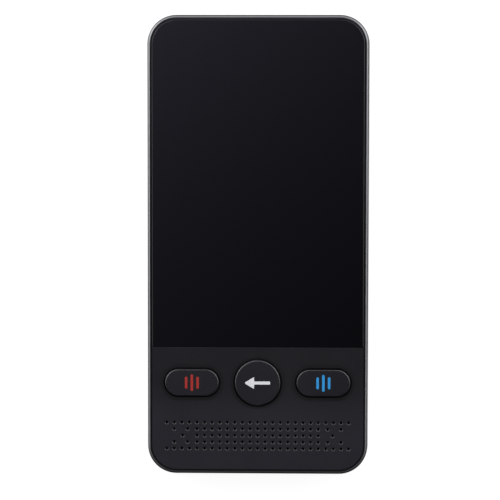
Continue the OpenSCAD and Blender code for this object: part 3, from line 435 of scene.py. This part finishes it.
def circuitBoard():  # green lacquer over copper tracks, with gilt holes between them
    finish, surface, place = newFinish("circuitBoard", {"Specular IOR Level": 0.5})
    across = place.axes()[0]
    bend = place.noise(boardLook["bendSize"]) * boardLook["bend"]
    tracks = (across * (math.tau / boardLook["trackPitch"]) + bend).sine() > boardLook["trackEdge"]
    holes = place.cells(boardLook["viaPitch"]) < boardLook["viaSize"] / boardLook["viaPitch"]
    stained = tracks.blend(place.noise(boardLook["stain"]), boardLook["trackShare"])
    lacquer = stained.mix(boardLook["mask"], boardLook["track"])
    feed(surface, baseColor=holes.mix(lacquer, boardLook["gold"]), metallic=holes * boardLook["viaMetal"],
         roughness=speckled(place.noise(boardLook["speck"]), boardLook),
         normal=(tracks + holes).bump(boardLook["depth"]))
    return finish


filmLook = {"amber": (0.42, 0.15, 0.022, 1), "copper": (0.62, 0.27, 0.09, 1), "pitch": 0.8 * mm,
            "stripeEdge": 0.1, "stripeShare": 0.85, "stripeMetal": 0.6, "speck": 0.6 * mm,
            "roughness": 0.28, "rougher": 0.12, "depth": 0.01 * mm}


def copperFilm():
    finish, surface, place = newFinish("copperFilm", {"Specular IOR Level": 0.55})
    stripes = place.axes()[0].waves(filmLook["pitch"]) > filmLook["stripeEdge"]
    speck = place.noise(filmLook["speck"])
    striped = stripes.blend(speck, filmLook["stripeShare"])
    feed(surface, baseColor=striped.mix(filmLook["amber"], filmLook["copper"]),
         metallic=stripes * filmLook["stripeMetal"], roughness=speckled(speck, filmLook),
         normal=stripes.bump(filmLook["depth"]))
    return finish


meshLook = {"wire": (0.075, 0.078, 0.08, 1), "gap": (0.004, 0.004, 0.004, 1), "pitch": 0.16 * mm,
            "gapTo": 0.55, "wireFrom": 0.8, "speck": 0.1 * mm, "roughness": 0.4, "rougher": 0.15,
            "depth": 0.03 * mm}


def wovenWire():
    finish, surface, place = newFinish("wovenWire", {"Metallic": 0.9})
    across, along = place.axes()[:2]
    weave = abs(across.waves(meshLook["pitch"])).larger(abs(along.waves(meshLook["pitch"])))
    wires = weave.rise(meshLook["gapTo"], meshLook["wireFrom"])
    feed(surface, baseColor=wires.mix(meshLook["gap"], meshLook["wire"]),
         roughness=speckled(place.noise(meshLook["speck"]), meshLook), normal=weave.bump(meshLook["depth"]))
    return finish


foamLook = {"dark": 0.006, "light": 0.022, "cell": 0.35 * mm, "speck": 0.2 * mm, "roughness": 0.85,
            "rougher": 0.12, "depth": 0.08 * mm}


def openFoam():
    finish, surface, place = newFinish("openFoam", {"Specular IOR Level": 0.2})
    pores = place.cells(foamLook["cell"])
    feed(surface, baseColor=pores.mix(shade(foamLook["light"]), shade(foamLook["dark"])),
         roughness=speckled(place.noise(foamLook["speck"]), foamLook),
         normal=(1 - pores).bump(foamLook["depth"]))
    return finish


coneLook = {"cone": (0.012, 0.012, 0.013, 1), "edge": (0.03, 0.03, 0.032, 1), "edgeFrom": 3.2 * mm,
            "edgeTo": 4.2 * mm, "ring": 0.75 * mm, "speck": 0.3 * mm, "roughness": 0.5, "rougher": 0.15,
            "depth": 0.12 * mm}


def speakerCone():
    low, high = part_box("speaker")
    middle = (low + high) / 2
    finish, surface, place = newFinish("speakerCone", {"Specular IOR Level": 0.35})
    across, along = place.axes()[:2]
    flat = (high.x - low.x) / (high.y - low.y)
    reach = distance((across - middle.x) / flat, along - middle.y)
    atEdge = reach.rise(coneLook["edgeFrom"], coneLook["edgeTo"])
    feed(surface, baseColor=atEdge.mix(coneLook["cone"], coneLook["edge"]),
         roughness=speckled(place.noise(coneLook["speck"]), coneLook),
         normal=reach.waves(coneLook["ring"]).bump(coneLook["depth"]))
    return finish


foilLook = {"dark": (0.30, 0.31, 0.33, 1), "light": (0.52, 0.53, 0.55, 1), "crease": 6 * mm,
            "fine": 0.5 * mm, "creaseShare": 0.7, "roughness": 0.34, "rougher": 0.16, "depth": 0.05 * mm}


def batteryFoil():
    finish, surface, place = newFinish("batteryFoil", {"Metallic": 0.85})
    crease = place.noise(foilLook["crease"], detail=4.0, roughness=0.6)
    creased = crease.blend(place.noise(foilLook["fine"]), foilLook["creaseShare"])
    feed(surface, baseColor=creased.mix(foilLook["dark"], foilLook["light"]),
         roughness=speckled(crease, foilLook), normal=crease.bump(foilLook["depth"]))
    return finish


displayLook = {"face": (0.003, 0.003, 0.004, 1), "film": (0.62, 0.64, 0.66, 1), "back": (0.22, 0.23, 0.24, 1),
               "trayHeight": 0.5 * mm, "trayMetal": 0.8, "faceDepth": 0.6 * mm, "smear": 8 * mm,
               "roughness": 0.14, "rougher": 0.14}


def layeredDisplay():  # metal tray, bright film and black face, one above another
    low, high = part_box("display_panel")
    finish, surface, place = newFinish("layeredDisplay", {"Specular IOR Level": 0.5})
    height = place.axes()[2]
    tray = height < low.z + displayLook["trayHeight"]
    face = height > high.z - displayLook["faceDepth"]
    layers = tray.mix(displayLook["film"], displayLook["back"])
    feed(surface, baseColor=face.mix(layers, displayLook["face"]), metallic=tray * displayLook["trayMetal"],
         roughness=speckled(place.noise(displayLook["smear"]), displayLook))
    return finish


ledLook = {"phosphor": (0.85, 0.62, 0.06, 1), "case": (0.82, 0.82, 0.78, 1), "size": 0.95 * mm,
           "speck": 0.15 * mm, "roughness": 0.4, "rougher": 0.2, "depth": 0.01 * mm}


def flashPhosphor():
    low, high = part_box("flash_led")
    middle = (low + high) / 2
    finish, surface, place = newFinish("flashPhosphor", {"Specular IOR Level": 0.5})
    across, along = place.axes()[:2]
    off = abs(across - middle.x).larger(abs(along - middle.y))
    speck = place.noise(ledLook["speck"])
    feed(surface, baseColor=(off > ledLook["size"]).mix(ledLook["phosphor"], ledLook["case"]),
         roughness=speckled(speck, ledLook), normal=speck.bump(ledLook["depth"]))
    return finish


guideLook = {"colour": (0.86, 0.88, 0.9, 1), "ring": 0.3 * mm, "speck": 0.5 * mm, "roughness": 0.12,
             "rougher": 0.1, "depth": 0.03 * mm}


def clearGuide():  # a small ringed lens in front of the flash
    low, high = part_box("flash_guide")
    middle = (low + high) / 2
    finish, surface, place = newFinish("clearGuide", {"Base Color": guideLook["colour"], "IOR": 1.49,
                                                      "Transmission Weight": 0.6})
    rings = awayFrom(place, middle.x, middle.y).waves(guideLook["ring"])
    feed(surface, roughness=speckled(place.noise(guideLook["speck"]), guideLook),
         normal=rings.bump(guideLook["depth"]))
    return finish


goldLook = {"dark": (0.66, 0.46, 0.17, 1), "light": (0.86, 0.64, 0.28, 1), "tone": 0.8 * mm,
            "roughness": 0.22, "rougher": 0.16, "depth": 0.003 * mm}


def giltSpring():
    finish, surface, place = newFinish("giltSpring", {"Metallic": 1.0})
    tone = place.noise(goldLook["tone"], detail=3.0)
    feed(surface, baseColor=tone.mix(goldLook["dark"], goldLook["light"]), roughness=speckled(tone, goldLook),
         normal=tone.bump(goldLook["depth"]))
    return finish


ivoryLook = {"dark": (0.58, 0.54, 0.43, 1), "light": (0.72, 0.68, 0.56, 1), "pitch": 0.5 * mm,
             "slotEdge": 0.5, "slotDark": 0.6, "speck": 0.3 * mm, "roughness": 0.42, "rougher": 0.12,
             "depth": 0.03 * mm}


def ivoryPlastic():  # connector bodies, with a row of contact slots
    finish, surface, place = newFinish("ivoryPlastic", {"Specular IOR Level": 0.45})
    slots = place.axes()[0].waves(ivoryLook["pitch"]) > ivoryLook["slotEdge"]
    feed(surface, baseColor=(1 - slots * ivoryLook["slotDark"]).mix(ivoryLook["dark"], ivoryLook["light"]),
         roughness=speckled(place.noise(ivoryLook["speck"]), ivoryLook),
         normal=(1 - slots).bump(ivoryLook["depth"]))
    return finish


windowLook = {"lensSize": 3.0 * mm, "flashSize": 1.35 * mm, "clear": 0.10, "ring": (0.10, 0.10, 0.11, 1),
              "ringWidth": 0.25 * mm, "smear": 5 * mm, "roughness": 0.03, "rougher": 0.05}


def windowGlass():  # black glass, left clear over the lens and the flash
    finish, surface, place = newFinish("windowGlass", {"IOR": 1.5})
    lens = (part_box("camera_module")[0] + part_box("camera_module")[1]) / 2
    flash = (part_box("flash_led")[0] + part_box("flash_led")[1]) / 2
    fromLens = awayFrom(place, lens.x, lens.y)
    openLens = fromLens < windowLook["lensSize"]
    openFlash = awayFrom(place, flash.x, flash.y) < windowLook["flashSize"]
    ring = abs(fromLens - windowLook["lensSize"] - windowLook["ringWidth"]) < windowLook["ringWidth"]
    smear = place.noise(windowLook["smear"], detail=3.0)
    feed(surface, baseColor=ring.mix(glassLook["colour"], windowLook["ring"]),
         roughness=speckled(smear, windowLook),
         alpha=1 - (openLens + openFlash) * (1 - windowLook["clear"]))
    return finish


print("finishes: inside")
steelFinish = grainedMetal("rolledSteel", steelLook)
goldFinish = giltSpring()
blackMoulding = mouldedPlastic("blackMoulding", jackLook)
slotFinishes = {
    "frame_metal": metal, "cover_plastic": coverFinish, "black_glass": glassFinish,
    "panel_plastic": panelFinish, "key_plastic": keyFinish, "display": layeredDisplay(),
    "steel_sheet": steelFinish, "circuit_board": circuitBoard(), "flex_film": copperFilm(),
    "mesh": wovenWire(), "foam_rubber": openFoam(), "speaker_plastic": speakerCone(),
    "battery_foil": batteryFoil(), "chip_plastic": mouldedPlastic("chipEpoxy", chipLook),
    "black_plastic": blackMoulding, "led": flashPhosphor(), "clear_plastic": clearGuide(),
    "spring_metal": goldFinish, "ivory_plastic": ivoryPlastic(),
    "screw_steel": grainedMetal("turnedSteel", screwLook),
}
for node in nodes.values():
    node.material_slots[0].material = slotFinishes[node.material_slots[0].material.name]
nodes["camera_window"].material_slots[0].material = windowGlass()


# shells: the CAD shapes, merged and smoothed
mergeWithin = 0.0005 * mm


def smoothShell(node, name, body, finish, angle=32):
    shell = bpy.data.objects.new(name, nodes[node].data.copy())
    bpy.context.scene.collection.objects.link(shell)
    onlySelect(shell)
    if shell.data.has_custom_normals:
        bpy.ops.mesh.customdata_custom_splitnormals_clear()
    bpy.ops.object.mode_set(mode="EDIT")
    bpy.ops.mesh.select_all(action="SELECT")
    bpy.ops.mesh.remove_doubles(threshold=mergeWithin)
    leaveEdit()
    smoothSurface(shell, angle)
    dress(shell, body, finish)
    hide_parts(node)


print("shells")
smoothShell("frame", "bandShell", "housing", bandMetal, angle=20)
smoothShell("back_cover", "backShell", "housing", coverFinish)
smoothShell("cover_glass", "frontGlass", "housing", glassFinish)
smoothShell("front_panel", "lowerPanel", "housing", panelFinish, angle=24)
for side in ("left", "right", "back"):
    smoothShell(side + "_key", side + "KeyCap", side + "_key", keyFinish)
smoothShell("power_key", "powerKeyCap", "power_key", metal)
smoothShell("volume_key", "volumeKeyCap", "volume_key", metal)
smoothShell("card_tray", "cardTray", "card_tray", metal)


# camera, charging socket and headphone jack
cameraForm = {"rim": 1.0 * mm, "edge": 0.35 * mm, "barrel": 3.0 * mm, "barrelHeight": 2.0 * mm,
              "barrelEdge": 0.05 * mm, "lens": 1.55 * mm, "lensFlat": 0.42, "lensGap": 0.01 * mm,
              "steps": ((0.45, 0.3), (0.55, 0.35), (0.35, 0.3))}  # inset and depth of each, in mm


def cameraHousing():
    low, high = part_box("camera_module")
    middle = (low + high) / 2
    barrelHeight = cameraForm["barrelHeight"]
    base = boxPiece((low.x, low.y, low.z + cameraForm["rim"]), (high.x, high.y, high.z))
    roundEdges(base, cameraForm["edge"])
    bpy.ops.object.select_all(action="DESELECT")
    bpy.ops.mesh.primitive_cylinder_add(vertices=64, radius=cameraForm["barrel"], depth=barrelHeight,
                                        location=(middle.x, middle.y, low.z + barrelHeight / 2))
    barrel = settle(bpy.context.object, "barrel")
    pickFaces(barrel, lambda face: face.normal.z < -facing)
    for inset, depth in cameraForm["steps"]:
        bpy.ops.mesh.inset(thickness=inset * mm)
        bpy.ops.mesh.extrude_region_move(TRANSFORM_OT_translate={"value": (0, 0, depth * mm)})
    leaveEdit()
    roundEdges(barrel, cameraForm["barrelEdge"], segments=2)
    housing = joinAll([base, barrel], "cameraHousing")
    smoothSurface(housing)
    dress(housing, "housing", blackMoulding)
    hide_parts("camera_module")


coatLook = {"middle": (0.030, 0.010, 0.060, 1), "rim": (0.004, 0.030, 0.022, 1), "rimFrom": 0.5 * mm,
            "rimTo": 1.4 * mm, "speck": 1 * mm, "roughness": 0.04, "rougher": 0.03}


def coatedGlass():  # violet in the middle and green at the rim, as a coated lens is
    low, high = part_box("camera_module")
    finish, surface, place = newFinish("coatedGlass", {"IOR": 1.6, "Coat Weight": 1.0,
                                                       "Coat Roughness": 0.02})
    reach = awayFrom(place, (low.x + high.x) / 2, (low.y + high.y) / 2)
    atRim = reach.rise(coatLook["rimFrom"], coatLook["rimTo"])
    feed(surface, baseColor=atRim.mix(coatLook["middle"], coatLook["rim"]),
         roughness=speckled(place.noise(coatLook["speck"]), coatLook))
    return finish


def cameraLens():
    low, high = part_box("camera_module")
    depth = sum(step[1] for step in cameraForm["steps"]) * mm
    seat = ((low.x + high.x) / 2, (low.y + high.y) / 2, low.z + depth + cameraForm["lensGap"])
    bpy.ops.object.select_all(action="DESELECT")
    bpy.ops.mesh.primitive_uv_sphere_add(segments=64, ring_count=32, radius=cameraForm["lens"], location=seat)
    lens = settle(bpy.context.object, "cameraLens")
    pickFaces(lens, lambda face: True)
    bpy.ops.transform.resize(value=(1, 1, cameraForm["lensFlat"]), center_override=seat)
    bpy.ops.mesh.bisect(plane_co=seat, plane_no=(0, 0, 1), clear_outer=True, use_fill=True)
    leaveEdit()
    smoothSurface(lens)
    dress(lens, "housing", coatedGlass())


tongueForm = {"mouth": 1.5 * mm, "halfWidth": 3.35 * mm, "halfHeight": 0.35 * mm, "over": 0.04 * mm,
              "length": 4.6 * mm, "edge": 0.2 * mm}
contactForm = {"count": 12, "width": 0.25 * mm, "pitch": 0.5 * mm, "length": 3.2 * mm, "height": 0.03 * mm,
               "sunk": 0.01 * mm, "setBack": 0.5 * mm, "edge": 0.012 * mm}


def socketTongue():  # the plastic tongue with its two rows of contacts
    low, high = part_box("usb_socket")
    middle = (low + high) / 2
    mouth = low.y + tongueForm["mouth"]
    halfWidth = tongueForm["halfWidth"] + tongueForm["over"]
    halfHeight = tongueForm["halfHeight"] + tongueForm["over"]
    tongue = boxPiece((-halfWidth, mouth - tongueForm["over"], middle.z - halfHeight),
                      (halfWidth, mouth + tongueForm["length"], middle.z + halfHeight))
    roundEdges(tongue, tongueForm["edge"])
    tongue.name = "socketTongue"
    smoothSurface(tongue)
    dress(tongue, "housing", blackMoulding)
    firstX = -(contactForm["count"] - 1) / 2 * contactForm["pitch"]
    halfContact = contactForm["width"] / 2
    front = mouth + contactForm["setBack"]
    top = middle.z + halfHeight
    first = boxPiece((firstX - halfContact, front, top - contactForm["sunk"]),
                     (firstX + halfContact, front + contactForm["length"], top + contactForm["height"]))
    roundEdges(first, contactForm["edge"], segments=1)
    under = 2 * halfHeight + contactForm["height"] - contactForm["sunk"]
    rows = [copyPiece(first, (step * contactForm["pitch"], 0, drop))
            for drop in (0, -under) for step in range(contactForm["count"]) if step or drop]
    contacts = joinAll([first] + rows, "socketContacts")
    smoothSurface(contacts)
    dress(contacts, "housing", goldFinish)


jackForm = {"outside": 2.3 * mm, "wall": 0.42 * mm, "height": 0.16 * mm, "sunk": 0.02 * mm, "edge": 0.05 * mm}


def jackCollar():
    low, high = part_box("headphone_jack")
    middle = (low + high) / 2
    seat = (middle.x, high.y + jackForm["height"] / 2 - jackForm["sunk"], middle.z)
    bpy.ops.object.select_all(action="DESELECT")
    bpy.ops.mesh.primitive_cylinder_add(vertices=96, radius=jackForm["outside"], depth=jackForm["height"],
                                        end_fill_type="NOTHING", rotation=(math.pi / 2, 0, 0), location=seat)
    collar = settle(bpy.context.object, "jackCollar")
    wall = collar.modifiers.new("wall", "SOLIDIFY")
    wall.thickness = jackForm["wall"]
    wall.offset = -1
    bpy.ops.object.modifier_apply(modifier=wall.name)
    roundEdges(collar, jackForm["edge"])
    smoothSurface(collar)
    dress(collar, "housing", steelFinish)


print("camera, socket and jack")
cameraHousing()
cameraLens()
socketTongue()
jackCollar()


# printed marks on the keys
inkLook = {"red": (0.40, 0.030, 0.022, 1), "blue": (0.030, 0.32, 0.73, 1), "white": (0.84, 0.85, 0.88, 1),
           "worn": 0.86, "speck": 0.25 * mm, "roughness": 0.45, "swing": 0.2, "depth": 0.002 * mm}
barMark = {"width": 0.71 * mm, "side": 3.3 * mm, "middle": 4.6 * mm, "pitch": 1.58 * mm,
           "ink": 0.015 * mm, "corner": 0.29 * mm}
arrowMark = {"shaft": 4.4 * mm, "stroke": 0.85 * mm, "head": 2.5 * mm, "spread": 3.3 * mm,
             "barb": 0.01 * mm, "tip": 0.1, "ink": 0.015 * mm, "corner": 0.14 * mm}


def printInk(name, colour):
    finish, surface, place = newFinish(name, {"Specular IOR Level": 0.4})
    speck = place.noise(inkLook["speck"], detail=3.0, roughness=0.7)
    feed(surface,
         baseColor=speck.mix(shade(inkLook["worn"], colour), colour),
         roughness=uneven(inkLook["roughness"], (speck, inkLook["swing"])),
         normal=speck.bump(inkLook["depth"]))
    return finish


def roundUpright(piece, radius, segments=4):  # rounds the edges that stand along Z
    pickEdges(piece, lambda a, b: abs(a.x - b.x) < sameSpot and abs(a.y - b.y) < sameSpot)
    bpy.ops.mesh.bevel(offset=radius, segments=segments, affect="EDGES")
    leaveEdit()


def threeBars(name, capNode, body, finish):
    low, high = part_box(capNode)
    middle = (low + high) / 2
    bars = []
    for step in (-1, 0, 1):
        length = barMark["side"] if step else barMark["middle"]
        x = middle.x + step * barMark["pitch"]
        bar = boxPiece((x - barMark["width"] / 2, middle.y - length / 2, high.z),
                       (x + barMark["width"] / 2, middle.y + length / 2, high.z + barMark["ink"]))
        roundUpright(bar, barMark["corner"])
        bars.append(bar)
    marks = joinAll(bars, name)
    smoothSurface(marks)
    dress(marks, body, finish)


def backArrow(name, capNode, body, finish):  # a shaft, drawn out at its end into barbs and then a tip
    low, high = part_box(capNode)
    middle = (low + high) / 2
    left = middle.x - (arrowMark["shaft"] + arrowMark["head"]) / 2
    neck = left + arrowMark["head"]
    halfStroke = arrowMark["stroke"] / 2
    arrow = boxPiece((neck, middle.y - halfStroke, high.z),
                     (neck + arrowMark["shaft"], middle.y + halfStroke, high.z + arrowMark["ink"]))
    pickFaces(arrow, lambda face: face.normal.x < -facing)
    ends = ((-arrowMark["barb"], arrowMark["spread"] / arrowMark["stroke"], neck),
            (arrowMark["barb"] - arrowMark["head"], arrowMark["tip"], left))
    for reach, widen, x in ends:
        bpy.ops.mesh.extrude_region_move(TRANSFORM_OT_translate={"value": (reach, 0, 0)})
        bpy.ops.transform.resize(value=(1, widen, 1), center_override=(x, middle.y, high.z))
    leaveEdit()
    roundUpright(arrow, arrowMark["corner"], segments=3)
    settle(arrow, name)
    smoothSurface(arrow)
    dress(arrow, body, finish)


print("marks on the keys")
threeBars("leftKeyBars", "left_key", "left_key", printInk("redInk", inkLook["red"]))
threeBars("rightKeyBars", "right_key", "right_key", printInk("blueInk", inkLook["blue"]))
backArrow("backKeyArrow", "back_key", "back_key", printInk("whiteInk", inkLook["white"]))


# floor, lamps and camera
floorLook = {"paint": 0.25, "backdrop": 0.9, "radius": 4, "drop": 0.01 * mm}
lamps = {  # place, size and power of each lamp
    "leftLamp": ((-0.95, 0.28, 0.75), (1.2, 0.5), 5.0),
    "rightLamp": ((0.95, 0.28, 0.75), (1.2, 0.5), 5.0),
    "upperLeftLamp": ((-0.72, 0.75, 0.65), (1.5, 1.2), 8.0),
    "upperRightLamp": ((0.72, 0.75, 0.65), (1.5, 1.2), 8.0),
}
worldLook = {"wall": 0.45, "wallTop": 0.18, "ceiling": 0.12, "ceilingFrom": 0.5, "nearWall": 0.06}
cardLook = {"level": 0.172, "acrossX": -2.9, "alongY": 3.9, "tint": (1.0, 0.96, 1.28), "height": 1.5,
            "size": 1.1, "fadeFrom": 0.32, "fadeTo": 0.54}
viewForm = {"lens": 156.63, "sensor": 36, "place": (14.156 * mm, 40.535 * mm, 607.355 * mm),
            "turn": (-4.0, 1.575, 0.079)}  # lens and sensor in mm, turn in degrees


def emptyFinish(name):  # a material whose nodes are all still to be made
    finish = bpy.data.materials.new(name)
    finish.use_nodes = True
    finish.node_tree.nodes.clear()
    return finish, finish.node_tree


def makeFloor():  # plain paint to scattered light, a white backdrop to the camera and in mirrors and glass
    bpy.ops.object.select_all(action="DESELECT")
    bpy.ops.mesh.primitive_circle_add(vertices=96, radius=floorLook["radius"], fill_type="NGON",
                                      location=(0, 0, -floorLook["drop"]))
    floor = settle(bpy.context.object, "floor")
    finish, tree = emptyFinish("floorPaint")
    rays = tree.nodes.new("ShaderNodeLightPath").outputs
    direct, mirrored, through = [Wire(tree, rays[name]) for name in
                                 ("Is Camera Ray", "Is Glossy Ray", "Is Transmission Ray")]
    seen = direct + mirrored + through
    paint = seen.node("ShaderNodeBsdfDiffuse", None, {"Color": shade(floorLook["paint"])})
    glow = seen.node("ShaderNodeEmission", None, {"Strength": seen * floorLook["backdrop"]})
    lit = seen.node("ShaderNodeAddShader", None, {0: paint, 1: glow})
    under = Wire(tree, tree.nodes.new("ShaderNodeNewGeometry").outputs["Backfacing"])
    clear = seen.node("ShaderNodeBsdfTransparent")
    both = seen.node("ShaderNodeMixShader", None, {0: under, 1: lit, 2: clear})
    tree.links.new(both.socket, tree.nodes.new("ShaderNodeOutputMaterial").inputs["Surface"])
    floor.data.materials.append(finish)


def makeWorld():  # pale walls under a darker ceiling, fading towards -Y
    world = bpy.data.worlds.new("studio")
    bpy.context.scene.world = world
    world.use_nodes = True
    tree = world.node_tree
    place = Wire(tree, tree.nodes.new("ShaderNodeTexCoord").outputs["Generated"])
    depth, height = place.axes()[1:]
    wall = height.ramp((0.0, shade(worldLook["wall"])), (worldLook["wallTop"], shade(worldLook["wall"])),
                       (worldLook["ceilingFrom"], shade(worldLook["ceiling"])))
    nearWall = (depth * -1.0).ramp((0.0, shade(1.0)), (1.0, shade(worldLook["nearWall"] / worldLook["wall"])))
    room = wall.node("ShaderNodeMix", {"data_type": "RGBA", "blend_type": "MULTIPLY"},
                     {0: 1.0, 6: wall, 7: nearWall}, 2)
    tree.links.new(room.socket, tree.nodes["Background"].inputs["Color"])


def makeCard():  # a dim soft card above the part, which the glass mirrors
    bpy.ops.object.select_all(action="DESELECT")
    bpy.ops.mesh.primitive_plane_add(size=cardLook["size"], location=(0, 0, cardLook["height"]))
    card = settle(bpy.context.object, "softCard")
    finish, tree = emptyFinish("cardGlow")
    place = Wire(tree, tree.nodes.new("ShaderNodeTexCoord").outputs["Object"])
    x, y = place.axes()[:2]
    slope = x * cardLook["acrossX"] + y * cardLook["alongY"]
    faded = abs(x).larger(abs(y)).rise(cardLook["fadeTo"], cardLook["fadeFrom"])
    glow = slope.node("ShaderNodeEmission", None, {
        "Color": shade(1.0, cardLook["tint"]), "Strength": math.e ** slope * faded * cardLook["level"]})
    tree.links.new(glow.socket, tree.nodes.new("ShaderNodeOutputMaterial").inputs["Surface"])
    card.data.materials.append(finish)
    card.visible_camera = False
    card.visible_diffuse = False
    card.visible_shadow = False


def makeLamps():
    for name, (place, size, power) in lamps.items():
        light = bpy.data.lights.new(name, "AREA")
        light.shape = "RECTANGLE"
        light.size, light.size_y = size
        light.energy = power
        lamp = bpy.data.objects.new(name, light)
        bpy.context.scene.collection.objects.link(lamp)
        lamp.location = place
        lamp.rotation_euler = (-lamp.location).to_track_quat("-Z", "Y").to_euler()


def makeCamera():
    view = bpy.data.cameras.new("camera")
    view.lens = viewForm["lens"]
    view.sensor_width = viewForm["sensor"]
    camera = bpy.data.objects.new("camera", view)
    bpy.context.scene.collection.objects.link(camera)
    camera.location = viewForm["place"]
    camera.rotation_euler = [math.radians(angle) for angle in viewForm["turn"]]
    bpy.context.scene.camera = camera


print("floor, lamps and camera")
makeFloor()
makeWorld()
makeCard()
makeLamps()
makeCamera()
bpy.context.scene.view_settings.view_transform = "Standard"

print("done")
